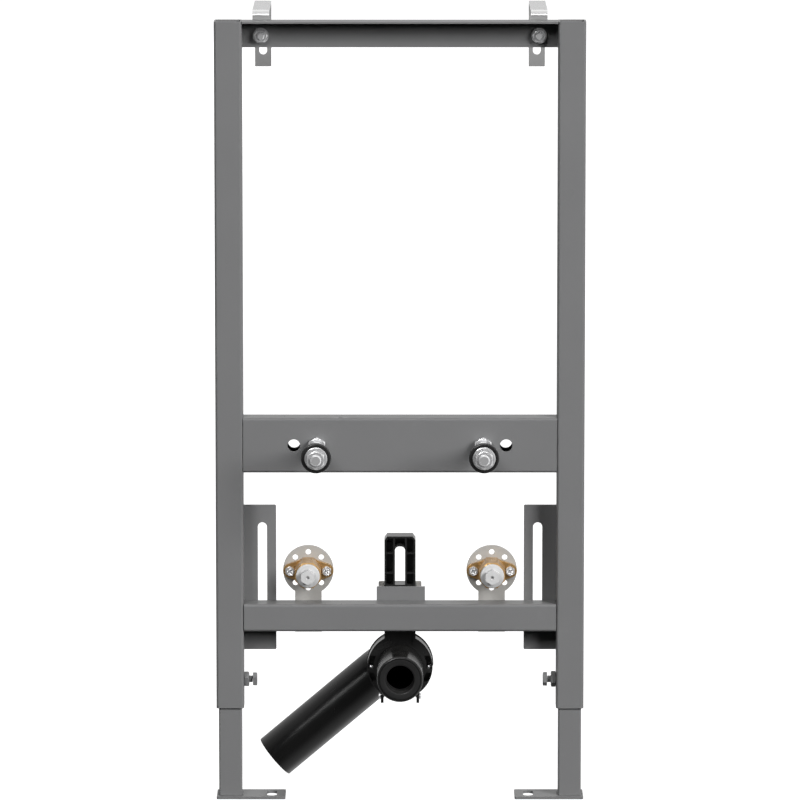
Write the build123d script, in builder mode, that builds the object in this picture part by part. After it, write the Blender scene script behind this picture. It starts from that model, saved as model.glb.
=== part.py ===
from build123d import *
import math
import os

# Bidet installation frame, in millimetres.
# The origin is where the finished floor, the finished wall and the centre line meet.
# X runs to the right as the frame is seen from the room, Y runs into the wall, Z runs up.

# Clearances, on the radius
bolt_clearance = 0.2
thread_fit = 0.05
screw_clearance = 0.1
sleeve_clearance = 0.3
hook_hole_clearance = 0.4
stud_hole_clearance = 0.25

# Main frame
frame_width = 400.0
frame_height = 850.0
install_depth = 150.0  # front of the uprights to the finished wall
tube = 30.0
tube_wall = 2.0
tube_corner = 3.0
upright_bottom = 100.0

# Telescopic legs
leg_tube = 25.0
leg_wall = 2.0
leg_corner = 2.0
leg_travel = 200.0
leg_overlap = 60.0
foot_thickness = 3.0
foot_length = 75.0
foot_depth = 40.0
foot_corner = 2.0
foot_slot_inset = 15.0
foot_slot_width = 11.0
foot_slot_length = 26.0
lock_height = 130.0
lock_thread = 8.0
lock_nut_flats = 15.0
lock_nut_thickness = 5.5
lock_head_flats = 13.0
lock_head_thickness = 4.7
lock_head_standoff = 4.1
lock_tip_gap = 0.1

# Top rail, an angle with its web at the back
angle_size = 30.0
angle_wall = 2.0
angle_bend = 3.0

# Middle rail and the studs that carry the bidet
middle_rail_z = 390.0
middle_rail_height = 60.0
stud_distance = 180.0
spare_distance = 230.0
spare_hole = 13.5
stud_thread = 12.0
stud_reach = 107.0  # front of the rail to the end of the stud
stud_nut_flats = 18.0
stud_nut_thickness = 10.0
stud_back_length = 16.0
stud_tip_chamfer = 1.2
bush_diameter = 32.5
bush_thickness = 6.0
bush_rim = 1.5
bush_sleeve = 20.0
bush_sleeve_length = 12.0
stud_washer_diameter = 24.5
stud_washer_thickness = 2.2
stud_tip_free = 4.0

# Lower rail, which slides between the uprights
lower_rail_z = 200.0
rail_end_gap = 0.3
side_plate_low = 160.0
side_plate_high = 320.0
side_plate_inset = 35.0  # inner face of the upright to the plate's free edge
side_plate_weld = 25.0  # how far the plate reaches behind the upright
side_plate_thickness = 3.0
side_slot_inset = 20.0
side_slot_width = 10.0
side_slot_low = 190.0
side_slot_high = 300.6
side_plate_corner = 1.5
rail_bolt_thread = 8.0
rail_bolt_flats = 13.0
rail_bolt_head = 5.3
rail_bolt_grip = 6.0
rail_washer_diameter = 20.0
rail_washer_thickness = 1.6
rail_washer_play = 0.2

# Wall hooks
hook_inset = 20.0
hook_width = 18.0
hook_thickness = 3.0
hook_rise = 10.5  # top rail to the top of the hook
hook_bend = 7.5
hook_rear_drop = 62.3
hook_front_drop = 28.0
hook_slot_width = 8.5
hook_slot_low_drop = 49.0
hook_slot_high_drop = 15.0
hook_bolt_drop = 17.0
hook_thread = 8.0
hook_nut_flats = 13.0
hook_nut_thickness = 6.5
hook_head_thickness = 5.3
hook_washer_diameter = 17.0
hook_washer_thickness = 1.6
hook_tip_free = 3.0

# Water connections
water_inset = 70.0  # inner face of the upright to the axis of a water connection
water_z = 248.0
water_disc = 55.0
water_neck = 29.0
water_plate_low = 179.5
water_plate_thickness = 2.5
water_hole_circle_diameter = 40.0
water_hole = 6.0
water_hole_count = 8
connector_body = 28.0
connector_ear = 15.0
connector_flange = 6.0
connector_reach = 37.0  # plate to the front of the socket
connector_socket = 21.0
connector_socket_depth = 15.0
connector_bore = 15.0
connector_collar = 24.0
connector_collar_length = 6.0
connector_stub = 20.95
connector_stub_length = 18.0
connector_chamfer = 1.2
plug_flange = 26.0
plug_flange_thickness = 4.0
plug_hex_flats = 14.3
plug_hex_length = 9.0
plug_shank_length = 12.0
plug_recess = 3.4
plug_recess_depth = 3.0
connector_screw = 5.0
connector_screw_flats = 9.6
connector_screw_head_height = 3.2
connector_screw_tail = 4.0

# Drain holder
bracket_width = 52.8
bracket_offset = 0.9  # the bracket sits a little to the right of the centre line
bracket_top = 229.5
bracket_thickness = 3.0
holder_width = 34.0
holder_depth = 24.0
holder_top = 284.5
holder_top_chamfer = 4.2
holder_top_chamfer_width = 3.0
holder_slot_width = 11.0
holder_slot_low = 231.0
holder_slot_high = 273.4
holder_slot_corner = 4.5
holder_wall = 2.0
holder_rib = 1.2
holder_rib_heights = (243.9, 265.7)
holder_pocket_depth = 15.0
holder_base_height = 3.5
holder_base_spread = 1.1
holder_base_angle = 72.0
clamp_plate_width = 47.0
clamp_plate_top = 230.7
clamp_plate_thickness = 2.5
clamp_plate_corner = 1.5
holder_bolt_thread = 8.0
holder_bolt_flats = 13.0
holder_bolt_head = 5.3
ring_wall = 10.7
ring_split_z = 137.0  # height of the parting face between the saddle and the lower half
ring_rim_height = 0.9
ring_rim_thickness = 2.0
ring_skin = 1.1  # outer wall left at the ring's pockets
ring_pocket_inner = 29.0
ring_pocket_rise = 15.3  # parting face to the top of the upper pockets
ring_pocket_fall = 13.9
ring_shelf = 1.0
ring_boss = 3.5
ring_pocket_depth = 14.0
saddle_panel_width = 28.5
saddle_panel_depth = 2.0
saddle_panel_lip = 3.0
saddle_panel_overlap = 2.0  # the panel runs this far into the bore
lug_offset = 19.5
lug_thickness = 3.0
lug_low = 99.7
clamp_screw = 4.0
clamp_screw_head = 5.4
clamp_screw_head_height = 2.6
lug_screw_head = 7.0
lug_screw_tail = 1.0
clamp_screw_tail = 0.8
lug_screw_z = 106.0

# Drain bend
drain_z = 140.0
pipe_diameter = 50.0
pipe_wall = 3.0
pipe_fit = 0.08
inlet_reach = 42.0  # front of the uprights to the face of the socket
bend_depth = 32.5  # finished wall to the axis of the outlet
bend_radius = 40.0
outlet_angle = 40.2  # below level, to the left
outlet_length = 181.4
outlet_start = 50.0  # corner of the bend to the joint with the straight outlet pipe
seal_bore = 29.0
seal_fit = 0.05
seal_depth = 26.0
seal_lip_round = 1.9
socket_lip_round = 2.4

# Places that follow from the sizes above
front = -install_depth
back = front + tube
tube_y = front + tube / 2
upright_x = frame_width / 2 - tube / 2
rail_half = frame_width / 2 - tube
side_plate_inner = rail_half - side_plate_inset
side_slot_x = rail_half - side_slot_inset
hook_x = rail_half - hook_inset
water_x = rail_half - water_inset
hook_top = frame_height + hook_rise
hook_rear_bottom = frame_height - hook_rear_drop
hook_front_bottom = frame_height - hook_front_drop
hook_slot_low = frame_height - hook_slot_low_drop
hook_slot_high = frame_height - hook_slot_high_drop
hook_bolt_z = frame_height - hook_bolt_drop
leg_top = upright_bottom + leg_overlap + leg_travel
stud_x = stud_distance / 2
stud_tip_y = front - stud_reach
stud_end_nut_y = stud_tip_y + stud_tip_free
stud_washer_y = stud_end_nut_y + stud_nut_thickness
bush_y = stud_washer_y + stud_washer_thickness
bracket_back = back + bracket_thickness
holder_back = bracket_back + holder_depth
clamp_back = holder_back + clamp_plate_thickness
ring_outer = pipe_diameter / 2 + ring_wall
ring_bore = pipe_diameter / 2 + pipe_fit
socket_face = front - inlet_reach
corner_y = -bend_depth
outlet_x = -math.cos(math.radians(outlet_angle))
outlet_z = -math.sin(math.radians(outlet_angle))
SIDES = (("left", -1), ("right", 1))

os.makedirs("parts", exist_ok=True)


def save(piece, name):
    """Label one finished piece and write it under its own name."""
    piece.label = name
    export_step(piece, f"parts/{name}.step")


def tube_profile(width, depth, wall, corner):
    """Draw a rectangular tube's section in the sketch that is open."""
    RectangleRounded(width, depth, corner)
    inner_corner = max(corner - wall, 0.3)
    RectangleRounded(width - 2 * wall, depth - 2 * wall, inner_corner, mode=Mode.SUBTRACT)


def hexagon(flats, rotation=0):
    """Draw a hexagon by its width across flats, with a corner on the sketch's own X axis."""
    RegularPolygon(flats / 2, 6, major_radius=False, rotation=rotation)


def across(plane_y):
    """A drawing plane that faces the room at a given depth, with X to the right and Z up."""
    return Plane(origin=(0, plane_y, 0), x_dir=(1, 0, 0), z_dir=(0, -1, 0))


def along(plane_x):
    """A drawing plane square to the rails, with Y as its first axis and Z as its second."""
    return Plane(origin=(plane_x, 0, 0), x_dir=(0, 1, 0), z_dir=(1, 0, 0))


# Uprights
def make_upright(name, side):
    """One upright: an open square tube with the hole of the leg's lock bolt."""
    x = side * upright_x
    with BuildPart() as upright:
        with BuildSketch(Plane.XY.offset(upright_bottom)):
            with Locations((x, tube_y)):
                tube_profile(tube, tube, tube_wall, tube_corner)
        extrude(amount=frame_height - upright_bottom)
        inner_wall = side * (rail_half + tube_wall / 2)
        with Locations(Location((inner_wall, tube_y, lock_height), (0, 90, 0))):
            Cylinder(lock_thread / 2 + bolt_clearance, 2 * tube_wall, mode=Mode.SUBTRACT)
    save(upright.part, f"{name}_upright")


# Legs and feet
def make_leg(name, side):
    """One leg: the inner tube of the telescope, standing on its foot plate."""
    with BuildPart() as leg:
        with BuildSketch(Plane.XY.offset(foot_thickness)):
            with Locations((side * upright_x, tube_y)):
                tube_profile(leg_tube, leg_tube, leg_wall, leg_corner)
        extrude(amount=leg_top - foot_thickness)
    save(leg.part, f"{name}_leg")


def make_foot_plate(name, side):
    """One foot plate, flush with the outer face of its upright, with a slot for the floor bolt."""
    plate_x = side * (frame_width / 2 - foot_length / 2)
    slot_x = side * (frame_width / 2 - foot_length + foot_slot_inset)
    with BuildPart() as plate:
        with BuildSketch(Plane.XY):
            with Locations((plate_x, tube_y)):
                RectangleRounded(foot_length, foot_depth, foot_corner)
            with Locations((slot_x, tube_y)):
                SlotOverall(foot_slot_length, foot_slot_width, rotation=90, mode=Mode.SUBTRACT)
        extrude(amount=foot_thickness)
    save(plate.part, f"{name}_foot_plate")


def make_leg_locks():
    """The nuts welded to the uprights' inner faces, and the bolts that clamp the legs."""
    nut_end = rail_half - lock_nut_thickness
    head_start = nut_end - lock_head_standoff
    tip = upright_x - leg_tube / 2 - lock_tip_gap
    with BuildPart() as nuts:
        for _, side in SIDES:
            with BuildSketch(along(side * rail_half)):
                with Locations((tube_y, lock_height)):
                    hexagon(lock_nut_flats, 90)
                    Circle(lock_thread / 2 + thread_fit, mode=Mode.SUBTRACT)
            extrude(amount=-side * lock_nut_thickness)
    save(nuts.part, "leg_lock_nuts")
    with BuildPart() as bolts:
        for _, side in SIDES:
            with BuildSketch(along(side * tip)):
                with Locations((tube_y, lock_height)):
                    Circle(lock_thread / 2)
            extrude(amount=-side * (tip - head_start))
            with BuildSketch(along(side * head_start)):
                with Locations((tube_y, lock_height)):
                    hexagon(lock_head_flats, 90)
            extrude(amount=-side * lock_head_thickness)
    save(bolts.part, "leg_lock_bolts")


# Rails
def make_top_rail():
    """The top rail: an angle with a bent back corner, drilled for the wall hooks."""
    with BuildPart() as rail:
        with BuildSketch(along(-rail_half)):
            with BuildLine():
                FilletPolyline(
                    (front, frame_height - angle_wall / 2),
                    (back - angle_wall / 2, frame_height - angle_wall / 2),
                    (back - angle_wall / 2, frame_height - angle_size),
                    radius=angle_bend - angle_wall / 2,
                )
            trace(line_width=angle_wall)
        extrude(amount=2 * rail_half)
        with Locations(*hook_bolt_places(back)):
            Cylinder(hook_thread / 2 + hook_hole_clearance, 4 * angle_wall, mode=Mode.SUBTRACT)
    save(rail.part, "top_rail")


def hook_bolt_places(depth):
    """Where the two hook bolts cross a sheet at a given depth."""
    return [Location((side * hook_x, depth, hook_bolt_z), (90, 0, 0)) for _, side in SIDES]


def make_middle_rail():
    """The closed rail that carries the studs, with spare holes for the wider spacing."""
    with BuildPart() as rail:
        with BuildSketch(along(-rail_half)):
            with Locations((tube_y, middle_rail_z)):
                tube_profile(tube, middle_rail_height, tube_wall, tube_corner)
        extrude(amount=2 * rail_half)
        for half_spacing, hole in ((stud_x, stud_thread + 2 * stud_hole_clearance), (spare_distance / 2, spare_hole)):
            for _, side in SIDES:
                with Locations(Location((side * half_spacing, tube_y, middle_rail_z), (90, 0, 0))):
                    Cylinder(hole / 2, 2 * tube, mode=Mode.SUBTRACT)
    save(rail.part, "middle_rail")


def make_lower_rail():
    """The rail that carries the water and drain connections, drilled at the back."""
    half = rail_half - rail_end_gap
    with BuildPart() as rail:
        with BuildSketch(along(-half)):
            with Locations((tube_y, lower_rail_z)):
                tube_profile(tube, tube, tube_wall, tube_corner)
        extrude(amount=2 * half)
        holes = [(side * side_slot_x, rail_bolt_thread) for _, side in SIDES]
        holes.append((0, holder_bolt_thread))
        for x, thread in holes:
            with Locations(Location((x, back - tube_wall / 2, lower_rail_z), (90, 0, 0))):
                Cylinder(thread / 2 + thread_fit, 2 * tube_wall, mode=Mode.SUBTRACT)
    save(rail.part, "lower_rail")


def make_slotted_plate(name, side):
    """One side plate on the back of the upright, with the slot of the rail's bolt."""
    outer = rail_half + side_plate_weld
    middle = side * (outer + side_plate_inner) / 2
    height = side_plate_high - side_plate_low
    slot_z = (side_slot_high + side_slot_low) / 2
    with BuildPart() as plate:
        with BuildSketch(across(back)):
            with Locations((middle, side_plate_low + height / 2)):
                RectangleRounded(outer - side_plate_inner, height, side_plate_corner)
            with Locations((side * side_slot_x, slot_z)):
                SlotOverall(side_slot_high - side_slot_low, side_slot_width, rotation=90, mode=Mode.SUBTRACT)
        extrude(amount=-side_plate_thickness)
    save(plate.part, f"{name}_slotted_plate")


def make_rail_bolts():
    """The bolts and washers that clamp the lower rail to the slotted plates from behind."""
    washer_y = back + side_plate_thickness + rail_washer_play
    head_y = washer_y + rail_washer_thickness
    with BuildPart() as washers:
        with BuildSketch(across(washer_y)):
            for _, side in SIDES:
                with Locations((side * side_slot_x, lower_rail_z)):
                    Circle(rail_washer_diameter / 2)
                    Circle(rail_bolt_thread / 2 + bolt_clearance, mode=Mode.SUBTRACT)
        extrude(amount=-rail_washer_thickness)
    save(washers.part, "rail_washers")
    with BuildPart() as bolts:
        with BuildSketch(across(head_y)):
            for _, side in SIDES:
                with Locations((side * side_slot_x, lower_rail_z)):
                    hexagon(rail_bolt_flats)
        extrude(amount=-rail_bolt_head)
        with BuildSketch(across(head_y)):
            for _, side in SIDES:
                with Locations((side * side_slot_x, lower_rail_z)):
                    Circle(rail_bolt_thread / 2)
        extrude(amount=head_y - back + tube_wall + rail_bolt_grip)
    save(bolts.part, "rail_bolts")


# Wall hooks
def make_wall_hook(name, side):
    """One hook: a strap bent from the top rail over to the wall and down it."""
    half = hook_thickness / 2
    with BuildPart() as hook:
        with BuildSketch(along(side * hook_x - hook_width / 2)):
            with BuildLine():
                FilletPolyline(
                    (back + half, hook_front_bottom),
                    (back + half, hook_top - half),
                    (-half, hook_top - half),
                    (-half, hook_rear_bottom),
                    radius=hook_bend - half,
                )
            trace(line_width=hook_thickness)
        extrude(amount=hook_width)
        with BuildSketch(across(half)):
            with Locations((side * hook_x, (hook_slot_low + hook_slot_high) / 2)):
                SlotOverall(hook_slot_high - hook_slot_low, hook_slot_width, rotation=90)
        extrude(amount=2 * hook_thickness, mode=Mode.SUBTRACT)
        with Locations(Location((side * hook_x, back + half, hook_bolt_z), (90, 0, 0))):
            Cylinder(hook_thread / 2 + hook_hole_clearance, 2 * hook_thickness, mode=Mode.SUBTRACT)
    save(hook.part, f"{name}_wall_hook")


def make_hook_fasteners():
    """The bolts from behind, and the washers and nuts in front of the top rail's web."""
    web = back - angle_wall
    washer_front = web - hook_washer_thickness
    nut_front = washer_front - hook_nut_thickness
    head_y = back + hook_thickness
    with BuildPart() as bolts:
        with BuildSketch(across(head_y)):
            for _, side in SIDES:
                with Locations((side * hook_x, hook_bolt_z)):
                    hexagon(hook_nut_flats)
        extrude(amount=-hook_head_thickness)
        with BuildSketch(across(head_y)):
            for _, side in SIDES:
                with Locations((side * hook_x, hook_bolt_z)):
                    Circle(hook_thread / 2)
        extrude(amount=head_y - nut_front + hook_tip_free)
    save(bolts.part, "hook_bolts")
    with BuildPart() as washers:
        with BuildSketch(across(web)):
            for _, side in SIDES:
                with Locations((side * hook_x, hook_bolt_z)):
                    Circle(hook_washer_diameter / 2)
                    Circle(hook_thread / 2 + bolt_clearance, mode=Mode.SUBTRACT)
        extrude(amount=hook_washer_thickness)
    save(washers.part, "hook_washers")
    with BuildPart() as nuts:
        with BuildSketch(across(washer_front)):
            for _, side in SIDES:
                with Locations((side * hook_x, hook_bolt_z)):
                    hexagon(hook_nut_flats)
                    Circle(hook_thread / 2 + thread_fit, mode=Mode.SUBTRACT)
        extrude(amount=hook_nut_thickness)
    save(nuts.part, "hook_nuts")


# Studs for the bidet
def make_stud(name, side):
    """One threaded stud through the middle rail, chamfered at both ends."""
    length = stud_reach + tube + stud_back_length
    with BuildPart() as stud:
        with BuildSketch(across(back + stud_back_length)):
            with Locations((side * stud_x, middle_rail_z)):
                Circle(stud_thread / 2)
        extrude(amount=length)
        chamfer(stud.edges().filter_by(GeomType.CIRCLE), stud_tip_chamfer)
    save(stud.part, f"{name}_stud")


def make_stud_hardware():
    """Lock nuts on the rail, then bush, washer and nut at the front end of each stud."""
    with BuildPart() as lock_nuts:
        for plane_y in (front, back + stud_nut_thickness):
            with BuildSketch(across(plane_y)):
                for _, side in SIDES:
                    with Locations((side * stud_x, middle_rail_z)):
                        hexagon(stud_nut_flats, 90)
                        Circle(stud_thread / 2 + thread_fit, mode=Mode.SUBTRACT)
            extrude(amount=stud_nut_thickness)
    save(lock_nuts.part, "stud_lock_nuts")
    with BuildPart() as bushes:
        with BuildSketch(across(bush_y + bush_thickness)):
            for _, side in SIDES:
                with Locations((side * stud_x, middle_rail_z)):
                    Circle(bush_diameter / 2)
        extrude(amount=bush_thickness)
        fillet(bushes.edges().filter_by(GeomType.CIRCLE), bush_rim)
        with BuildSketch(across(bush_y + bush_thickness)):
            for _, side in SIDES:
                with Locations((side * stud_x, middle_rail_z)):
                    Circle(bush_sleeve / 2)
        extrude(amount=-bush_sleeve_length)
        with BuildSketch(across(bush_y)):
            for _, side in SIDES:
                with Locations((side * stud_x, middle_rail_z)):
                    Circle(stud_thread / 2 + bolt_clearance)
        extrude(amount=-bush_thickness - bush_sleeve_length, mode=Mode.SUBTRACT)
    save(bushes.part, "stud_bushes")
    with BuildPart() as washers:
        with BuildSketch(across(bush_y)):
            for _, side in SIDES:
                with Locations((side * stud_x, middle_rail_z)):
                    Circle(stud_washer_diameter / 2)
                    Circle(stud_thread / 2 + sleeve_clearance, mode=Mode.SUBTRACT)
        extrude(amount=stud_washer_thickness)
    save(washers.part, "stud_washers")
    with BuildPart() as nuts:
        with BuildSketch(across(stud_washer_y)):
            for _, side in SIDES:
                with Locations((side * stud_x, middle_rail_z)):
                    hexagon(stud_nut_flats, 90)
                    Circle(stud_thread / 2 + thread_fit, mode=Mode.SUBTRACT)
        extrude(amount=stud_nut_thickness)
    save(nuts.part, "stud_end_nuts")


# Water connections
def make_water_plate(name, side):
    """One keyhole-shaped plate on the back of the lower rail, with its ring of holes."""
    centre = (side * water_x, water_z)
    with BuildPart() as plate:
        with BuildSketch(across(back + water_plate_thickness)):
            with Locations(centre):
                Circle(water_disc / 2)
            with Locations((side * water_x, (water_z + water_plate_low) / 2)):
                Rectangle(water_neck, water_z - water_plate_low)
            with Locations(centre):
                Circle(connector_collar / 2 + bolt_clearance, mode=Mode.SUBTRACT)
                with PolarLocations(water_hole_circle_diameter / 2, water_hole_count):
                    Circle(water_hole / 2, mode=Mode.SUBTRACT)
        extrude(amount=water_plate_thickness)
    save(plate.part, f"{name}_water_plate")


def make_brass_connector(name, side):
    """One wall-plate connector: eared flange, faceted socket and threaded stub behind."""
    centre = (side * water_x, water_z)
    ear = water_hole_circle_diameter / 2
    with BuildPart() as connector:
        with BuildSketch(across(back)):
            with Locations(centre):
                Circle(connector_body / 2)
            for ear_side in (-1, 1):
                with Locations((side * water_x + ear_side * ear, water_z)):
                    Circle(connector_ear / 2)
            make_hull()
            for ear_side in (-1, 1):
                with Locations((side * water_x + ear_side * ear, water_z)):
                    Circle(connector_screw / 2 + bolt_clearance, mode=Mode.SUBTRACT)
        extrude(amount=connector_flange)
        with BuildSketch(across(back)):
            with Locations(centre):
                RegularPolygon(connector_body / 2, 8, major_radius=False, rotation=22.5)
        extrude(amount=connector_reach)
        front_edges = connector.faces().sort_by(Axis.Y)[0].edges()
        chamfer(front_edges, connector_chamfer)
        with BuildSketch(across(back)):
            with Locations(centre):
                Circle(connector_collar / 2)
        extrude(amount=-connector_collar_length)
        with BuildSketch(across(back + connector_collar_length)):
            with Locations(centre):
                Circle(connector_stub / 2)
        extrude(amount=-connector_stub_length)
        with BuildSketch(across(back - connector_reach)):
            with Locations(centre):
                Circle(connector_socket / 2)
        extrude(amount=-connector_socket_depth, mode=Mode.SUBTRACT)
        with BuildSketch(across(back - connector_reach)):
            with Locations(centre):
                Circle(connector_bore / 2)
        extrude(
            amount=-connector_reach - connector_collar_length - connector_stub_length,
            mode=Mode.SUBTRACT,
        )
    save(connector.part, f"{name}_brass_connector")


def make_test_plug(name, side):
    """One screw-in test plug: round flange, hexagon head with a small recess, plain shank."""
    centre = (side * water_x, water_z)
    face = back - connector_reach
    head = face - plug_flange_thickness
    with BuildPart() as plug:
        with BuildSketch(across(face)):
            with Locations(centre):
                Circle(plug_flange / 2)
        extrude(amount=plug_flange_thickness)
        with BuildSketch(across(head)):
            with Locations(centre):
                hexagon(plug_hex_flats, 90)
        extrude(amount=plug_hex_length)
        with BuildSketch(across(face)):
            with Locations(centre):
                Circle(connector_socket / 2 - screw_clearance)
        extrude(amount=-plug_shank_length)
        with BuildSketch(across(head - plug_hex_length)):
            with Locations(centre):
                Circle(plug_recess / 2)
        extrude(amount=-plug_recess_depth, mode=Mode.SUBTRACT)
    save(plug.part, f"{name}_test_plug")


def make_connector_screws():
    """The four screws that hold the connectors' ears to the water plates."""
    ear_face = back - connector_flange
    tail = back + water_plate_thickness + connector_screw_tail
    places = []
    for _, side in SIDES:
        for ear_side in (-1, 1):
            places.append((side * water_x + ear_side * water_hole_circle_diameter / 2, water_z))
    with BuildPart() as screws:
        with BuildSketch(across(ear_face)):
            with Locations(*places):
                hexagon(connector_screw_flats, 90)
        extrude(amount=connector_screw_head_height)
        with BuildSketch(across(tail)):
            with Locations(*places):
                Circle(connector_screw / 2)
        extrude(amount=tail - ear_face)
    save(screws.part, "connector_screws")


# Drain holder
def make_drain_bracket():
    """The plate on the back of the lower rail that the holder is clamped against."""
    low = lower_rail_z - tube / 2
    with BuildPart() as bracket:
        with BuildSketch(across(bracket_back)):
            with Locations((bracket_offset, (low + bracket_top) / 2)):
                Rectangle(bracket_width, bracket_top - low)
            with Locations((0, lower_rail_z)):
                Circle(holder_bolt_thread / 2 + bolt_clearance, mode=Mode.SUBTRACT)
        extrude(amount=bracket_thickness)
    save(bracket.part, "drain_bracket")


def make_clamp_plate():
    """The zinc plate behind the holder, with rounded corners."""
    low = lower_rail_z - tube / 2
    with BuildPart() as plate:
        with BuildSketch(across(clamp_back)):
            with Locations((0, (low + clamp_plate_top) / 2)):
                RectangleRounded(clamp_plate_width, clamp_plate_top - low, clamp_plate_corner)
            with Locations((0, lower_rail_z)):
                Circle(holder_bolt_thread / 2 + bolt_clearance, mode=Mode.SUBTRACT)
        extrude(amount=clamp_plate_thickness)
    save(plate.part, "drain_clamp_plate")


def ring_pocket_x():
    """Distance of the ring's pockets from the centre line, at their middle."""
    return (ring_pocket_inner + ring_outer - ring_skin) / 2


def make_drain_holder():
    """The ribbed post with its slot, and the saddle that sits over the pipe."""
    post_corner = holder_width / 2 - holder_top_chamfer_width
    slot_middle = (holder_slot_low + holder_slot_high) / 2
    base_low = holder_slot_low - holder_base_height
    with BuildPart() as holder:
        with BuildSketch(across(holder_back)):
            with BuildLine():
                Polyline(
                    (-holder_width / 2, drain_z),
                    (-holder_width / 2, holder_top - holder_top_chamfer),
                    (-post_corner, holder_top),
                    (post_corner, holder_top),
                    (holder_width / 2, holder_top - holder_top_chamfer),
                    (holder_width / 2, drain_z),
                    close=True,
                )
            make_face()
            with Locations((0, base_low + holder_base_height / 2)):
                Trapezoid(holder_width + 2 * holder_base_spread, holder_base_height, holder_base_angle)
        extrude(amount=holder_depth)
        with BuildSketch(across(holder_back)):
            with Locations((0, drain_z)):
                Circle(ring_outer)
        extrude(amount=holder_depth)
        with BuildSketch(across(holder_back)):
            with Locations((0, drain_z)):
                Circle(ring_outer + ring_rim_height)
        extrude(amount=ring_rim_thickness)
        with BuildSketch(across(holder_back)):
            with Locations((0, ring_split_z - ring_outer)):
                Rectangle(4 * ring_outer, 2 * ring_outer)
        extrude(amount=holder_depth, mode=Mode.SUBTRACT)
        with BuildSketch(across(holder_back)):
            with Locations((0, drain_z)):
                Circle(ring_bore)
        extrude(amount=holder_depth, mode=Mode.SUBTRACT)
        with BuildSketch(across(holder_back)):
            slot_outline(slot_middle, 0)
        extrude(amount=holder_depth, mode=Mode.SUBTRACT)
        with BuildSketch(across(bracket_back)):
            for place, size in post_cells():
                with Locations(place):
                    Rectangle(*size)
            with Locations((0, (holder_slot_high + holder_top) / 2 - holder_wall / 2)):
                Rectangle(holder_slot_width, holder_top - holder_slot_high + holder_slot_corner)
            slot_outline(slot_middle, holder_wall, Mode.SUBTRACT)
        extrude(amount=-holder_pocket_depth, mode=Mode.SUBTRACT)
        with BuildSketch(across(bracket_back)):
            with Locations((0, drain_z)):
                Circle(ring_outer - ring_skin)
                Circle(ring_pocket_inner, mode=Mode.SUBTRACT)
            with Locations((0, ring_split_z + (ring_shelf + ring_pocket_rise) / 2)):
                Rectangle(4 * ring_outer, ring_pocket_rise - ring_shelf, mode=Mode.INTERSECT)
        extrude(amount=-ring_pocket_depth, mode=Mode.SUBTRACT)
        for _, side in SIDES:
            with Locations((side * ring_pocket_x(), ring_screw_y(), ring_split_z)):
                Cylinder(clamp_screw / 2 + screw_clearance, 4 * ring_shelf, mode=Mode.SUBTRACT)
        with BuildSketch(across(bracket_back)):
            panel_low = drain_z + ring_bore - saddle_panel_overlap
            panel_high = lower_rail_z - tube / 2 - saddle_panel_lip
            with Locations((0, (panel_low + panel_high) / 2)):
                Rectangle(saddle_panel_width, panel_high - panel_low)
        extrude(amount=-saddle_panel_depth, mode=Mode.SUBTRACT)
        with Locations(Location((0, holder_back, lower_rail_z), (90, 0, 0))):
            Cylinder(holder_bolt_thread / 2 + bolt_clearance, 3 * holder_depth, mode=Mode.SUBTRACT)
    save(holder.part, "drain_holder")


def slot_outline(middle, margin, mode=Mode.ADD):
    """Draw the post's slot, with rounded top corners, grown by a margin."""
    width = holder_slot_width + 2 * margin
    height = holder_slot_high - holder_slot_low + 2 * margin
    corner = holder_slot_corner + margin
    with Locations((0, middle)):
        RectangleRounded(width, height, corner, mode=mode)
    if mode == Mode.ADD:
        with Locations((0, middle - height / 4)):
            Rectangle(width, height / 2)


def post_cells():
    """Place and size of the cells between the post's ribs, on both sides of the slot."""
    cell_outer = holder_width / 2 - holder_wall
    cell_inner = holder_slot_width / 2 + holder_wall
    top = holder_top - holder_top_chamfer - holder_wall + holder_rib / 2
    levels = [holder_slot_low - holder_rib / 2, *holder_rib_heights, top]
    cells = []
    for low, high in zip(levels, levels[1:]):
        for _, side in SIDES:
            place = (side * (cell_outer + cell_inner) / 2, (low + high) / 2)
            cells.append((place, (cell_outer - cell_inner, high - low - holder_rib)))
    return cells


def make_drain_strap():
    """The lower half of the clamp ring, with its two hanging lugs."""
    with BuildPart() as strap:
        with BuildSketch(across(holder_back)):
            with Locations((0, drain_z)):
                Circle(ring_outer)
            for _, side in SIDES:
                with Locations((side * lug_offset, (lug_low + drain_z) / 2)):
                    Rectangle(lug_thickness, drain_z - lug_low)
            with Locations((0, drain_z)):
                Circle(ring_bore, mode=Mode.SUBTRACT)
            with Locations((0, ring_split_z + ring_outer)):
                Rectangle(4 * ring_outer, 2 * ring_outer, mode=Mode.SUBTRACT)
        extrude(amount=holder_depth)
        with BuildSketch(across(bracket_back)):
            with Locations((0, drain_z)):
                Circle(ring_outer - ring_skin)
                Circle(ring_pocket_inner, mode=Mode.SUBTRACT)
            with Locations((0, ring_split_z - (ring_boss + ring_pocket_fall) / 2)):
                Rectangle(4 * ring_outer, ring_pocket_fall - ring_boss, mode=Mode.INTERSECT)
        extrude(amount=-ring_pocket_depth, mode=Mode.SUBTRACT)
        for _, side in SIDES:
            with Locations((side * ring_pocket_x(), ring_screw_y(), ring_split_z)):
                Cylinder(clamp_screw / 2 + thread_fit, 4 * ring_boss, mode=Mode.SUBTRACT)
        for _, side in SIDES:
            lug_x = side * lug_offset
            with Locations(Location((lug_x, lug_screw_y(), lug_screw_z), (0, 90, 0))):
                Cylinder(clamp_screw / 2 + screw_clearance, 2 * lug_thickness, mode=Mode.SUBTRACT)
    save(strap.part, "drain_strap")


def lug_screw_y():
    """Depth of the screws through the lugs, near the ring's front."""
    return bracket_back + holder_depth / 3


def ring_screw_y():
    """Depth of the upright screws, in the middle of the ring's pockets."""
    return bracket_back + ring_pocket_depth / 2


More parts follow.
